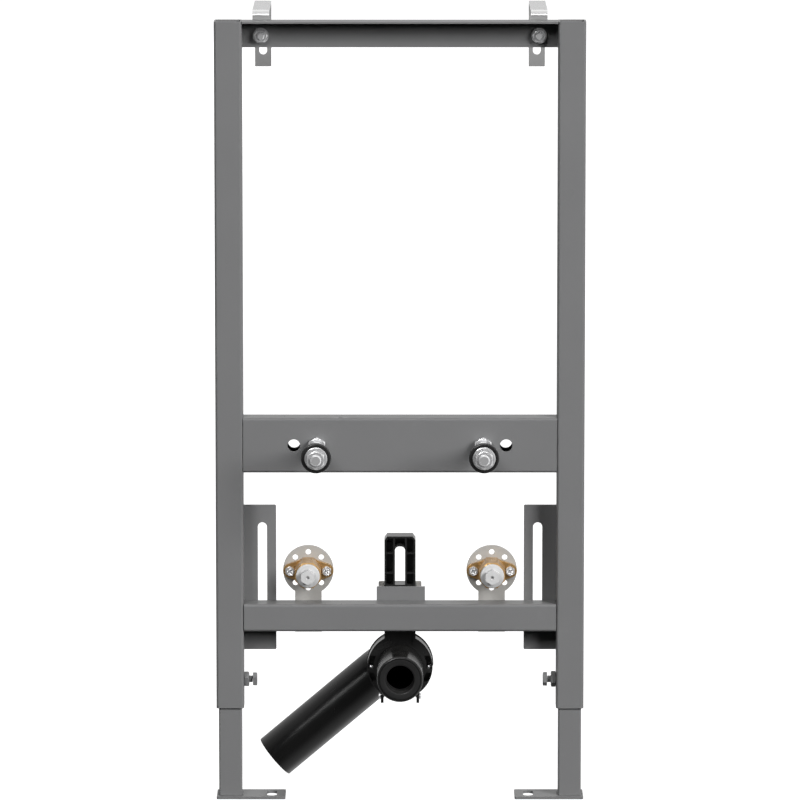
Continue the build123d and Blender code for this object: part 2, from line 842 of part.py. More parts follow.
def make_clamp_screws():
    """The upright screws that close the ring, and the two in its lugs."""
    reach = lug_offset + lug_thickness / 2
    seat = ring_split_z + ring_shelf
    with BuildPart() as screws:
        for _, side in SIDES:
            with BuildSketch(Plane.XY.offset(seat)):
                with Locations((side * ring_pocket_x(), ring_screw_y())):
                    Circle(clamp_screw_head / 2)
            extrude(amount=clamp_screw_head_height)
            with BuildSketch(Plane.XY.offset(seat)):
                with Locations((side * ring_pocket_x(), ring_screw_y())):
                    Circle(clamp_screw / 2)
            extrude(amount=-ring_shelf - ring_boss - clamp_screw_tail)
            with BuildSketch(along(side * reach)):
                with Locations((lug_screw_y(), lug_screw_z)):
                    Circle(lug_screw_head / 2)
            extrude(amount=side * clamp_screw_head_height)
            with BuildSketch(along(side * reach)):
                with Locations((lug_screw_y(), lug_screw_z)):
                    Circle(clamp_screw / 2)
            extrude(amount=-side * (lug_thickness + lug_screw_tail))
    save(screws.part, "clamp_screws")


def make_holder_bolt():
    """The bolt from behind that clamps plate, holder and bracket to the lower rail."""
    with BuildPart() as bolt:
        with BuildSketch(across(clamp_back)):
            with Locations((0, lower_rail_z)):
                hexagon(holder_bolt_flats)
        extrude(amount=-holder_bolt_head)
        with BuildSketch(across(clamp_back)):
            with Locations((0, lower_rail_z)):
                Circle(holder_bolt_thread / 2)
        extrude(amount=clamp_back - back + tube_wall + rail_bolt_grip)
    save(bolt.part, "holder_bolt")


# Drain bend
def outlet_point(distance):
    """A point on the outlet's axis, at a distance from the bend's corner."""
    return (distance * outlet_x, corner_y, drain_z + distance * outlet_z)


def make_drain_bend():
    """The bend: a socket level through the clamp, then turned down to the left."""
    with BuildPart() as bend:
        with BuildLine():
            FilletPolyline(
                (0, socket_face, drain_z),
                outlet_point(0),
                outlet_point(outlet_start),
                radius=bend_radius,
            )
        with BuildSketch(across(socket_face)):
            with Locations((0, drain_z)):
                Circle(pipe_diameter / 2)
                Circle(pipe_diameter / 2 - pipe_wall, mode=Mode.SUBTRACT)
        sweep()
        mouth = bend.faces().sort_by(Axis.Y)[0]
        outer_edge = mouth.edges().sort_by(SortBy.RADIUS)[-1]
        fillet(outer_edge, socket_lip_round)
    save(bend.part, "drain_bend")


def make_outlet_pipe():
    """The straight pipe welded to the bend, down to the mouth of the outlet."""
    start = Plane(origin=outlet_point(outlet_start), z_dir=(outlet_x, 0, outlet_z))
    with BuildPart() as pipe:
        with BuildSketch(start):
            Circle(pipe_diameter / 2)
            Circle(pipe_diameter / 2 - pipe_wall, mode=Mode.SUBTRACT)
        extrude(amount=outlet_length - outlet_start)
    save(pipe.part, "outlet_pipe")


def make_drain_seal():
    """The rubber nipple inside the socket, with a rounded mouth."""
    with BuildPart() as seal:
        with BuildSketch(across(socket_face)):
            with Locations((0, drain_z)):
                Circle(pipe_diameter / 2 - pipe_wall - seal_fit)
                Circle(seal_bore / 2, mode=Mode.SUBTRACT)
        extrude(amount=-seal_depth)
        mouth = seal.faces().sort_by(Axis.Y)[0]
        bore_edge = mouth.edges().sort_by(SortBy.RADIUS)[0]
        fillet(bore_edge, seal_lip_round)
    save(seal.part, "drain_seal")


for side_name, side_sign in SIDES:
    make_upright(side_name, side_sign)
    make_leg(side_name, side_sign)
    make_foot_plate(side_name, side_sign)
    make_slotted_plate(side_name, side_sign)
    make_wall_hook(side_name, side_sign)
    make_stud(side_name, side_sign)
    make_water_plate(side_name, side_sign)
    make_brass_connector(side_name, side_sign)
    make_test_plug(side_name, side_sign)
make_top_rail()
make_middle_rail()
make_lower_rail()
make_leg_locks()
make_rail_bolts()
make_hook_fasteners()
make_stud_hardware()
make_connector_screws()
make_drain_bracket()
make_clamp_plate()
make_drain_holder()
make_drain_strap()
make_clamp_screws()
make_holder_bolt()
make_drain_bend()
make_outlet_pipe()
make_drain_seal()
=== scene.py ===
import logging
import math
from dataclasses import dataclass
from enum import Enum
from typing import Callable, Iterable, Optional, Sequence

import bmesh
import bpy
from mathutils import Euler, Matrix, Vector


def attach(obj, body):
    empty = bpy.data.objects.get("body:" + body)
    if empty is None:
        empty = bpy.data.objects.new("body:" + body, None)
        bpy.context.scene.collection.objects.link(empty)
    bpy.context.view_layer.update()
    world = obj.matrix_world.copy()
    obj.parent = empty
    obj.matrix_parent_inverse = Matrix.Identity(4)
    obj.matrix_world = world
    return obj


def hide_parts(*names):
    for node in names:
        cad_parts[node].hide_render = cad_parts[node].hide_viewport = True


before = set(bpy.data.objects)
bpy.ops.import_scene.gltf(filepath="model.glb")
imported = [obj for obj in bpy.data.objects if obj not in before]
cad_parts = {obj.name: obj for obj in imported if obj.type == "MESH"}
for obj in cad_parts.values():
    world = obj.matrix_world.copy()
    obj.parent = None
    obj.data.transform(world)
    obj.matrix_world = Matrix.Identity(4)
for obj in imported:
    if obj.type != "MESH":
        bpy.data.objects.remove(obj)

MM = 0.001
CELLS = 1000.0  # a pattern's cells in a metre, where each is a millimetre wide
ROUNDED_ANGLE = 50.0  # degrees between faces that are still shaded as one
SIDES = (("left", -1), ("right", 1))
M8, M8_PITCH, M8_FLATS = 8.0, 1.25, 13.0  # diameter and pitch of the thread, and flats of its bolt heads
M8_CHAMFER = 0.9
SCREW_PITCH, SCREW_CHAMFER = 0.8, 0.3  # of the small screws
PLAY = 0.2  # gap round a bolt in its washer or bush
SHEET_EDGE, TUBE_EDGE = 0.3, 0.35  # rounding of the edges of sheets, and of tubes and mouldings
log = logging.getLogger("installation_frame")

Point = tuple[float, float, float]
Station = tuple[float, float]
Piece = bpy.types.Object
Socket = bpy.types.NodeSocket


class Facing(Enum):
    """The way a piece's own upright axis points once the piece is in place."""

    ROOM = (math.pi / 2, 0.0, 0.0)
    WALL = (-math.pi / 2, 0.0, 0.0)
    UP = (0.0, 0.0, 0.0)
    DOWN = (math.pi, 0.0, 0.0)
    RIGHT = (0.0, math.pi / 2, 0.0)
    LEFT = (0.0, -math.pi / 2, 0.0)


class Body(Enum):
    """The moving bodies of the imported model."""

    FRAME = "frame"
    LEFT_FOOT = "left_foot"
    RIGHT_FOOT = "right_foot"
    RAIL = "connection_rail"
    DRAIN = "drain"


# Work bench: sizes come in millimetres and are turned into metres here


def clear_selection() -> None:
    """Leave object mode with nothing selected, so that an operator works on the new piece alone."""
    if bpy.context.object and bpy.context.object.mode != "OBJECT":
        bpy.ops.object.mode_set(mode="OBJECT")
    bpy.ops.object.select_all(action="DESELECT")


def activate(piece: Piece) -> None:
    """Make one piece the only selected and active one."""
    clear_selection()
    piece.select_set(True)
    bpy.context.view_layer.objects.active = piece


def open_mesh(piece: Piece) -> None:
    """Open a piece in edit mode with all of it selected."""
    activate(piece)
    bpy.ops.object.mode_set(mode="EDIT")
    bpy.ops.mesh.select_mode(type="VERT")
    bpy.ops.mesh.select_all(action="SELECT")


def close_mesh() -> None:
    """Go back to object mode."""
    bpy.ops.object.mode_set(mode="OBJECT")


def choose_faces(rule: Callable[[bmesh.types.BMFace], bool]) -> None:
    """Select the faces of the open mesh that pass a rule.

    Args:
        rule: says whether a face is wanted, from its place and normal.
    """
    bpy.ops.mesh.select_mode(type="FACE")
    bpy.ops.mesh.select_all(action="DESELECT")
    mesh = bmesh.from_edit_mesh(bpy.context.object.data)
    for face in mesh.faces:
        face.select = rule(face)
    mesh.select_flush_mode()
    bmesh.update_edit_mesh(bpy.context.object.data)


def named(name: str) -> Piece:
    """Name the piece that was just added and put its place into its mesh.

    Args:
        name: the piece's name.

    Returns:
        The piece.
    """
    piece = bpy.context.active_object
    piece.name = name
    piece.data.name = name
    bpy.ops.object.transform_apply(location=True, rotation=True, scale=True)
    return piece


def place(piece: Piece, at: Point, facing: Facing = Facing.UP, turn: float = 0.0) -> Piece:
    """Carry a finished piece from the bench to its place.

    Args:
        piece: the piece, made round its own upright axis.
        at: where its origin goes, in millimetres.
        facing: where its upright axis points.
        turn: turn about its own axis, in degrees.

    Returns:
        The piece.
    """
    activate(piece)
    spin = Matrix.Rotation(math.radians(turn), 4, "Z")
    tip = Euler(facing.value).to_matrix().to_4x4()
    piece.matrix_world = Matrix.Translation(Vector(at) * MM) @ tip @ spin
    bpy.ops.object.transform_apply(location=True, rotation=True, scale=True)
    return piece


def copied(piece: Piece, name: str, shift: Point = (0.0, 0.0, 0.0)) -> Piece:
    """Copy a piece with its own mesh and move the copy.

    Args:
        piece: the piece to copy.
        name: the copy's name.
        shift: how far the copy moves, in millimetres.

    Returns:
        The copy.
    """
    twin = piece.copy()
    twin.data = piece.data.copy()
    twin.name = name
    twin.data.name = name
    bpy.context.scene.collection.objects.link(twin)
    return place(twin, shift)


def use_modifier(piece: Piece, kind: str, **settings: object) -> None:
    """Add one modifier and apply it.

    Args:
        piece: the piece to work on.
        kind: the modifier's type.
        **settings: values of the modifier.
    """
    activate(piece)
    modifier = piece.modifiers.new(kind.title(), kind)
    for key, value in settings.items():
        setattr(modifier, key, value)
    bpy.ops.object.modifier_apply(modifier=modifier.name)


def smooth(piece: Piece, angle: float = 35.0) -> Piece:
    """Shade a piece smoothly except over edges sharper than an angle.

    Args:
        piece: the piece to shade.
        angle: the largest smooth angle, in degrees.

    Returns:
        The piece.
    """
    activate(piece)
    bpy.ops.object.shade_smooth_by_angle(angle=math.radians(angle))
    return piece


def soften(piece: Piece, width: float, segments: int = 2, angle: float = 40.0) -> Piece:
    """Round a piece's sharp edges a little and keep its flats flat.

    Args:
        piece: the piece to soften.
        width: width of the rounding, in millimetres.
        segments: steps in the rounding.
        angle: edges sharper than this are rounded, in degrees.

    Returns:
        The piece.
    """
    use_modifier(
        piece,
        "BEVEL",
        width=width * MM,
        segments=segments,
        limit_method="ANGLE",
        angle_limit=math.radians(angle),
        miter_outer="MITER_ARC",
        use_clamp_overlap=True,
        face_strength_mode="FSTR_ALL",
    )
    smooth(piece, ROUNDED_ANGLE)
    settings = {"mode": "FACE_AREA", "weight": 50, "keep_sharp": True, "use_face_influence": True}
    use_modifier(piece, "WEIGHTED_NORMAL", **settings)
    return piece


def merge_points(distance: float = 0.001) -> None:
    """Merge the doubled points of the open mesh and turn its faces outwards.

    Args:
        distance: points nearer than this are one, in millimetres.
    """
    bpy.ops.mesh.select_all(action="SELECT")
    bpy.ops.mesh.remove_doubles(threshold=distance * MM)
    bpy.ops.mesh.normals_make_consistent(inside=False)


def turned(name: str, stations: Sequence[Station], bored: bool = False, sides: int = 64) -> Piece:
    """Turn a round piece by extruding and scaling a ring from station to station.

    Args:
        name: the piece's name.
        stations: radius and height of each station, in millimetres.
        bored: whether the stations run round a ring with a hole, back to the first.
        sides: points in the ring.

    Returns:
        The piece, round its upright axis.
    """
    clear_selection()
    radius, height = stations[0]
    fill = "NOTHING" if bored else "NGON"
    bpy.ops.mesh.primitive_circle_add(
        vertices=sides, radius=radius * MM, fill_type=fill, location=(0, 0, height * MM)
    )
    piece = named(name)
    open_mesh(piece)
    for next_radius, next_height in [*stations[1:], *([stations[0]] if bored else [])]:
        rise = (next_height - height) * MM
        bpy.ops.mesh.extrude_region_move(TRANSFORM_OT_translate={"value": (0, 0, rise)})
        scale = next_radius / radius
        bpy.ops.transform.resize(value=(scale, scale, 1), center_override=(0, 0, next_height * MM))
        radius, height = next_radius, next_height
    merge_points()
    close_mesh()
    return smooth(piece)


def hexagon(name: str, flats: float, low: float, high: float) -> Piece:
    """Make a hexagonal prism by its width across flats.

    Args:
        name: the piece's name.
        flats: width across flats, in millimetres.
        low: height of its lower face.
        high: height of its upper face.

    Returns:
        The prism, round its upright axis.
    """
    clear_selection()
    corner = flats / 2 / math.cos(math.pi / 6) * MM
    turn = (0, 0, math.radians(90))
    bpy.ops.mesh.primitive_circle_add(
        vertices=6, radius=corner, fill_type="NGON", location=(0, 0, low * MM), rotation=turn
    )
    piece = named(name)
    open_mesh(piece)
    bpy.ops.mesh.extrude_region_move(TRANSFORM_OT_translate={"value": (0, 0, (high - low) * MM)})
    merge_points()
    close_mesh()
    return piece


def carve(piece: Piece, tool: Piece, how: str = "DIFFERENCE") -> Piece:
    """Cut, join or keep the overlap of a piece with a tool, and drop the tool.

    Args:
        piece: the piece that stays.
        tool: the solid it is worked with.
        how: DIFFERENCE, UNION or INTERSECT.

    Returns:
        The piece.
    """
    use_modifier(piece, "BOOLEAN", object=tool, operation=how, solver="EXACT")
    bpy.data.objects.remove(tool)
    return piece


def drawn_line(name: str, points: Sequence[Point], closed: bool = False) -> Piece:
    """Draw a chain of edges by extruding one point from place to place.

    Args:
        name: the piece's name.
        points: the places, in millimetres.
        closed: whether the chain returns to its first point.

    Returns:
        A mesh of edges only.
    """
    clear_selection()
    bpy.ops.mesh.primitive_plane_add(size=MM, location=[c * MM for c in points[0]])
    piece = named(name)
    open_mesh(piece)
    bpy.ops.mesh.merge(type="COLLAPSE")
    bpy.ops.mesh.select_all(action="SELECT")
    for start, end in zip(points, points[1:]):
        step = [(b - a) * MM for a, b in zip(start, end)]
        bpy.ops.mesh.extrude_region_move(TRANSFORM_OT_translate={"value": step})
    if closed:
        bpy.ops.mesh.select_all(action="SELECT")
        bpy.ops.mesh.edge_face_add()
    close_mesh()
    return piece


def cut_sheet(name: str, outline: Sequence[Station], low: float, high: float) -> Piece:
    """Draw an outline, fill it and give it a thickness.

    Args:
        name: the piece's name.
        outline: its corners, in millimetres.
        low: height of its lower face.
        high: height of its upper face.

    Returns:
        The sheet, flat on the bench.
    """
    piece = drawn_line(name, [(x, y, low) for x, y in outline], closed=True)
    open_mesh(piece)
    bpy.ops.mesh.extrude_region_move(TRANSFORM_OT_translate={"value": (0, 0, (high - low) * MM)})
    merge_points()
    close_mesh()
    return piece


def from_solid(node: str, name: str, split: bool = False) -> Piece:
    """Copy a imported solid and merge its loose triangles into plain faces.

    Args:
        node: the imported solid's name.
        name: the copy's name.
        split: whether hollow outlines are split into plain ones.

    Returns:
        The copy, ready to be shaped further.
    """
    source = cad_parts[node]
    clear_selection()
    piece = bpy.data.objects.new(name, source.data.copy())
    piece.data.name = name
    piece.data.materials.clear()
    bpy.context.scene.collection.objects.link(piece)
    open_mesh(piece)
    bpy.ops.mesh.customdata_custom_splitnormals_clear()
    bpy.ops.mesh.remove_doubles(threshold=0.002 * MM)
    bpy.ops.mesh.dissolve_limited(angle_limit=math.radians(0.5))
    if split:
        bpy.ops.mesh.vert_connect_concave()
    close_mesh()
    return piece


def thread(
    name: str, diameter: float, pitch: float, length: float, chamfer: float, bore: float = 0.0
) -> Piece:
    """Cut a helical thread from its profile and chamfer both ends.

    Args:
        name: the piece's name.
        diameter: outside diameter, in millimetres.
        pitch: height of one turn.
        length: length of the thread.
        chamfer: chamfer at its ends.
        bore: diameter of a hole along its axis, or 0.

    Returns:
        The thread, standing on the bench.
    """
    crest = diameter / 2
    root = crest - 0.58 * pitch
    tooth = ((root, 0.0), (crest, 0.4), (crest, 0.52), (root, 0.92), (root, 1.0))
    rod = drawn_line(name, [(r, 0, share * pitch - 2 * pitch) for r, share in tooth])
    use_modifier(
        rod,
        "SCREW",
        axis="Z",
        screw_offset=pitch * MM,
        steps=32,
        render_steps=32,
        iterations=math.ceil(length / pitch) + 4,
        use_merge_vertices=True,
        merge_threshold=0.001 * MM,
    )
    open_mesh(rod)
    merge_points()
    over = 0.5
    for height, clear_above in ((-over, False), (length + over, True)):
        bpy.ops.mesh.select_all(action="SELECT")
        bpy.ops.mesh.bisect(
            plane_co=(0, 0, height * MM),
            plane_no=(0, 0, 1),
            use_fill=True,
            clear_outer=clear_above,
            clear_inner=not clear_above,
        )
    merge_points()
    close_mesh()
    wide = crest + 0.05
    stations = [(crest - chamfer, 0), (wide, chamfer), (wide, length - chamfer), (crest - chamfer, length)]
    if bore:
        stations += [(bore / 2, length), (bore / 2, 0)]
    carve(rod, turned("blank", stations, bored=bool(bore)), "INTERSECT")
    return smooth(rod, 30.0)


def with_stem(head: Piece, diameter: float, pitch: float, length: float, chamfer: float) -> Piece:
    """Join a threaded stem below a head whose seat is at height 0.

    Args:
        head: the head, upright on the bench.
        diameter: thread diameter, in millimetres.
        pitch: its pitch.
        length: length of the stem.
        chamfer: chamfer at its ends.

    Returns:
        The head with its stem.
    """
    return joined(head, place(thread("stem", diameter, pitch, length, chamfer), (0, 0, -length)))


def washer(name: str, diameter: float, thickness: float, hole: float) -> Piece:
    """Turn a flat washer with a rounded far edge.

    Args:
        name: the piece's name.
        diameter: outside diameter, in millimetres.
        thickness: its thickness.
        hole: radius of its hole.

    Returns:
        The washer, flat on the bench.
    """
    r, t = diameter / 2, thickness
    stations = [(r - 0.2, 0), (r, 0.2), (r, t - 0.35), (r - 0.35, t), (hole, t), (hole, 0)]
    return turned(name, stations, bored=True)


def hex_head(name: str, flats: float, thickness: float, bore: float = 0.0, both_sides: bool = True) -> Piece:
    """Make a nut or a bolt head: a chamfered round blank cut to six flats.

    Args:
        name: the piece's name.
        flats: width across flats, in millimetres.
        thickness: its thickness.
        bore: diameter of its hole, or 0 for a head.
        both_sides: whether both faces are chamfered, as on a nut, or the far one only.

    Returns:
        The piece, with a corner on its first axis.
    """
    corner = flats / math.sqrt(3) + 0.05
    face = flats / 2 * 0.96
    fall = (corner - face) * math.tan(math.radians(30))
    low = [(face, 0.0), (corner, fall)] if both_sides else [(corner, 0.0)]
    stations = [*low, (corner, thickness - fall), (face, thickness)]
    if bore:
        lead = 0.4
        mouth = bore / 2 + lead
        stations += [(mouth, thickness), (bore / 2, thickness - lead), (bore / 2, lead), (mouth, 0)]
    else:
        dish = 0.15
        stations += [(face * 0.86, thickness), (face * 0.82, thickness - dish)]
    blank = turned(name, stations, bored=bool(bore), sides=72)
    carve(blank, hexagon("hexagon", flats, -1, thickness + 1), "INTERSECT")
    return soften(blank, 0.22, 2, 22.0)


def hex_bolt(name: str, head: float, length: float, chamfer: float = M8_CHAMFER) -> Piece:
    """Make an M8 bolt.

    Args:
        name: the piece's name.
        head: thickness of its head, in millimetres.
        length: length of its stem.
        chamfer: chamfer at the stem's ends.

    Returns:
        The bolt, its head upwards and its seat at height 0.
    """
    return with_stem(hex_head(name, M8_FLATS, head, both_sides=False), M8, M8_PITCH, length, chamfer)


def cut_cross(head: Piece, width: float, top: float, depth: float) -> Piece:
    """Cut a tapered cross recess into the top of a screw head and round its edges.

    Args:
        head: the head, upright on the bench.
        width: width of the cross at the top, in millimetres.
        top: height of the head's top.
        depth: depth of the recess.

    Returns:
        The head.
    """
    half, arm = width / 2, width * 0.11
    for turn in (0, 90):
        outline = [(-half, -arm), (half, -arm), (half, arm), (-half, arm)]
        wing = cut_sheet("wing", outline, top - depth, top + 1)
        open_mesh(wing)
        choose_faces(lambda face: face.normal.z < -0.9)
        bpy.ops.transform.resize(value=(0.45, 0.7, 1.0), center_override=(0, 0, 0))
        close_mesh()
        carve(head, place(wing, (0, 0, 0), turn=turn))
    return soften(head, 0.08, 2, 30.0)


def cross_screw(name: str, head: float, height: float, shank: float, length: float) -> Piece:
    """Make a domed screw with a cross recess and a threaded shank below its head.

    Args:
        name: the piece's name.
        head: head diameter, in millimetres.
        height: head height.
        shank: thread diameter.
        length: length of the shank.

    Returns:
        The screw, its head upwards and its seat at height 0.
    """
    r = head / 2
    dome = ((1.0, 0.0), (1.0, 0.32), (0.96, 0.55), (0.84, 0.8), (0.6, 0.96), (0.3, 1.0))
    screw = turned(name, [(across * r, up * height) for across, up in dome])
    cut_cross(screw, 1.24 * r, height, 0.62 * height)
    return with_stem(screw, shank, SCREW_PITCH, length, SCREW_CHAMFER)


def joined(piece: Piece, *others: Piece) -> Piece:
    """Join pieces of one material into the first.

    Args:
        piece: the piece that stays.
        *others: the pieces that go into it.

    Returns:
        The piece.
    """
    activate(piece)
    for other in others:
        other.select_set(True)
    bpy.ops.object.join()
    return piece


def weld_bead(name: str, start: Point, end: Point, size: float, tilt: Point) -> Piece:
    """Lay a rippled weld bead along an inside corner.

    Args:
        name: the piece's name.
        start: where the bead begins, in millimetres.
        end: where it ends.
        size: its leg length.
        tilt: direction in which it bulges out of the corner.

    Returns:
        The bead, in place.
    """
    run = Vector(end) - Vector(start)
    count = max(4, int(run.length / (0.75 * size)))
    step = run.length / count
    ripple = ((0.78, 0.2), (0.84, 0.5), (0.66, 0.95))
    stations: list[Station] = [(size * 0.45, 0.0)]
    for i in range(count):
        stations += [(size * swell, i * step + share * step) for swell, share in ripple]
    stations.append((size * 0.4, run.length))
    bead = turned(name, stations, sides=16)
    across = Vector(tilt).normalized()
    along = run.normalized()
    third = along.cross(across)
    turn = Matrix((across, third, along)).transposed().to_4x4()
    activate(bead)
    bead.matrix_world = Matrix.Translation(Vector(start) * MM) @ turn
    bpy.ops.object.transform_apply(location=True, rotation=True, scale=True)
    return smooth(bead, 60.0)


def fit(piece: Piece, body: Body, finish: "Finish", replaces: Iterable[str] = ()) -> Piece:
    """Give a finished piece its material, its body and the solids it stands for.

    Args:
        piece: the finished piece.
        body: the body it moves with.
        finish: its finish.
        replaces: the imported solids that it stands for.

    Returns:
        The piece.
    """
    piece.data.materials.clear()
    piece.data.materials.append(finish.material())
    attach(piece, body.value)
    if replaces:
        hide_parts(*replaces)
    log.info("%s: %d faces, %s", piece.name, len(piece.data.polygons), finish.slot)
    return piece


def fit_solid(node: str, name: str, rounding: float, body: Body, finish: "Finish") -> Piece:
    """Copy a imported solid, round its edges and fit the copy in its place.

    Args:
        node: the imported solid's name.
        name: the copy's name.
        rounding: width of the rounding, in millimetres.
        body: the body it moves with.
        finish: its finish.

    Returns:
        The copy.
    """
    return fit(soften(from_solid(node, name), rounding), body, finish, [node])


def fit_pair(
    piece: Piece, at: Point, facing: Facing, body: Body, finish: "Finish", node: str, turn: float = 0.0
) -> None:
    """Place a left piece and its copy at the right, and fit both.

    Args:
        piece: the left piece, made on the bench.
        at: the left piece's place, in millimetres.
        facing: where its upright axis points.
        body: the body both move with.
        finish: their finish.
        node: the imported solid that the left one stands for.
        turn: turn about their own axes, in degrees.
    """
    place(piece, at, facing, turn)
    twin = copied(piece, piece.name.replace("left", "right"), (-2 * at[0], 0, 0))
    fit(piece, body, finish, [node])
    fit(twin, body, finish, [node.replace("left", "right")])


# Finishes


class Tree:
    """A node tree with short ways to add and join its nodes."""

    def __init__(self, tree: bpy.types.NodeTree) -> None:
        """Hold the tree."""
        self.tree = tree

    def add(self, kind: str, inputs: Optional[dict] = None, **settings: object) -> bpy.types.Node:
        """Add a node, set its values and join sockets that are given as inputs.

        Args:
            kind: the node's type name.
            inputs: socket values or sockets, by the input's name or number.
            **settings: properties of the node.

        Returns:
            The node.
        """
        node = self.tree.nodes.new(kind)
        for key, value in settings.items():
            setattr(node, key, value)
        for key, value in (inputs or {}).items():
            socket = node.inputs[int(key)] if key.isdigit() else node.inputs[key]
            if isinstance(value, Socket):
                self.tree.links.new(value, socket)
            else:
                socket.default_value = value
        return node

    def math(self, operation: str, first: object, second: object, clamp: bool = False) -> Socket:
        """Add one sum and give its result.

        Args:
            operation: the sum's name.
            first: a number or a socket.
            second: a number or a socket.
            clamp: whether the result is kept between 0 and 1.

        Returns:
            The result's socket.
        """
        inputs = {"0": first, "1": second}
        return self.add("ShaderNodeMath", inputs, operation=operation, use_clamp=clamp).outputs[0]

    def spread(
        self, value: object, low: float, high: float, to_low: float = 0.0, to_high: float = 1.0
    ) -> Socket:
        """Map a range of values to another, with the ends held.

        Args:
            value: the value's socket.
            low: start of the range.
            high: end of the range.
            to_low: what the start becomes.
            to_high: what the end becomes.

        Returns:
            The mapped value's socket.
        """
        inputs = {"Value": value, "From Min": low, "From Max": high, "To Min": to_low, "To Max": to_high}
        return self.add("ShaderNodeMapRange", inputs).outputs["Result"]

    def mix(self, factor: object, first: object, second: object) -> Socket:
        """Mix two colours.

        Args:
            factor: how much of the second, as a number or a socket.
            first: a colour or a socket.
            second: a colour or a socket.

        Returns:
            The mixed colour's socket.
        """
        return self.add("ShaderNodeMix", {"0": factor, "6": first, "7": second}, data_type="RGBA").outputs[2]

    def join(self, value: Socket, node: bpy.types.Node, name: str) -> None:
        """Join a value to a named input of a node.

        Args:
            value: the value's socket.
            node: the node.
            name: its input.
        """
        self.tree.links.new(value, node.inputs[name])

    def noise(self, vector: object, scale: float, detail: float = 3.0, roughness: float = 0.55) -> Socket:
        """Add a noise pattern.

        Args:
            vector: the place it is read at.
            scale: cells per metre.
            detail: octaves.
            roughness: strength of the finer octaves.

        Returns:
            The pattern's value socket.
        """
        inputs = {"Vector": vector, "Scale": scale, "Detail": detail, "Roughness": roughness}
        return self.add("ShaderNodeTexNoise", inputs).outputs["Fac"]


class Effect(Enum):
    """The effects that several finishes share, each a node group that is built once."""

    SKIN = "moulded_or_sprayed_skin"
    SCUFFS = "fine_scuffs"
    # edge mask with which the finishes paint edges paler: part real wear, part painted edge highlight
    EDGES = "worn_edges"
    CRYSTALS = "zinc_crystals"
    DUST = "settled_dust"

    def group(self) -> bpy.types.NodeTree:
        """The effect's node group, built at the first call."""
        found = bpy.data.node_groups.get(self.value)
        if found:
            return found
        tree = bpy.data.node_groups.new(self.value, "ShaderNodeTree")
        EFFECT_BUILDERS[self](tree)
        return tree

    def use(self, tree: Tree, **inputs: object) -> bpy.types.NodeOutputs:
        """Put the effect into a material.

        Args:
            tree: the material's tree.
            **inputs: values of the group's inputs, spaces as underscores.

        Returns:
            The group's outputs, by name.
        """
        node = tree.add("ShaderNodeGroup", node_tree=self.group())
        for key, value in inputs.items():
            node.inputs[key.replace("_", " ")].default_value = value
        return node.outputs


@dataclass
class Workshop:
    """A node group under construction, with its work tree, its ends and the place on the piece."""

    tree: bpy.types.NodeTree
    inputs: dict[str, float]
    outputs: Sequence[str]

    def __post_init__(self) -> None:
        """Give the group its named number sockets and its first nodes."""
        for name, value in self.inputs.items():
            socket = self.tree.interface.new_socket(name, in_out="INPUT", socket_type="NodeSocketFloat")
            socket.default_value = value
        for name in self.outputs:
            self.tree.interface.new_socket(name, in_out="OUTPUT", socket_type="NodeSocketFloat")
        self.given = self.tree.nodes.new("NodeGroupInput").outputs
        self.result = self.tree.nodes.new("NodeGroupOutput")
        self.work = Tree(self.tree)
        self.spot = self.work.add("ShaderNodeTexCoord").outputs["Object"]

    def give(self, name: str, value: Socket) -> None:
        """Join a value to one of the group's outputs.

        Args:
            name: the output.
            value: the value's socket.
        """
        self.work.join(value, self.result, name)


def build_skin(tree: bpy.types.NodeTree) -> None:
    """The fine relief of a sprayed or moulded surface, and its slow change of tone."""
    shop = Workshop(tree, {"Grain Size": 0.6, "Cloud Size": 60.0}, ["Relief", "Tone"])
    work, spot = shop.work, shop.spot
    fine_scale = work.math("DIVIDE", CELLS, shop.given["Grain Size"])
    cloud_scale = work.math("DIVIDE", CELLS, shop.given["Cloud Size"])
    fine = work.noise(spot, fine_scale, 2.0)
    broad = work.noise(spot, work.math("MULTIPLY", fine_scale, 0.21), 1.0)
    shop.give("Relief", work.math("ADD", work.math("MULTIPLY", fine, 0.6), work.math("MULTIPLY", broad, 0.4)))
    shop.give("Tone", work.noise(spot, cloud_scale, 3.0))


def build_scuffs(tree: bpy.types.NodeTree) -> None:
    """Thin scuffs in two directions, each a stretched noise cut to its peaks."""
    shop = Workshop(tree, {"Density": 0.5}, ["Mask"])
    work, spot = shop.work, shop.spot
    marks: list[Socket] = []
    for turn, stretch in (
        ((0.3, 0.2, 0.5), (900.0, 60.0, 60.0)),
        ((0.9, 0.4, 1.9), (60.0, 1100.0, 60.0)),
    ):
        stretched = work.add("ShaderNodeMapping", {"Vector": spot, "Rotation": turn, "Scale": stretch})
        marks.append(work.spread(work.noise(stretched.outputs[0], 1.0, 2.0), 0.66, 0.74))
    where = work.spread(work.noise(spot, 25.0, 2.0), 0.45, 0.7)
    seen = work.math("MULTIPLY", work.math("MAXIMUM", *marks), where)
    shop.give("Mask", work.math("MULTIPLY", seen, shop.given["Density"], clamp=True))


def build_edges(tree: bpy.types.NodeTree) -> None:
    """A mask of the edges, where a rounded normal leaves the flat one, broken up by noise."""
    shop = Workshop(tree, {"Width": 0.8, "Breakup": 0.4}, ["Mask"])
    work = shop.work
    radius = work.math("MULTIPLY", shop.given["Width"], MM)
    rounded = work.add("ShaderNodeBevel", {"Radius": radius}, samples=4).outputs["Normal"]
    flat = work.add("ShaderNodeNewGeometry").outputs["Normal"]
    likeness = work.add("ShaderNodeVectorMath", {"0": rounded, "1": flat}, operation="DOT_PRODUCT")
    edge = work.spread(likeness.outputs["Value"], 0.995, 0.9)
    patches = work.spread(work.noise(shop.spot, 180.0, 3.0), 0.35, 0.65)
    kept = work.math("SUBTRACT", 1.0, work.math("MULTIPLY", patches, shop.given["Breakup"]))
    shop.give("Mask", work.math("MULTIPLY", edge, kept, clamp=True))


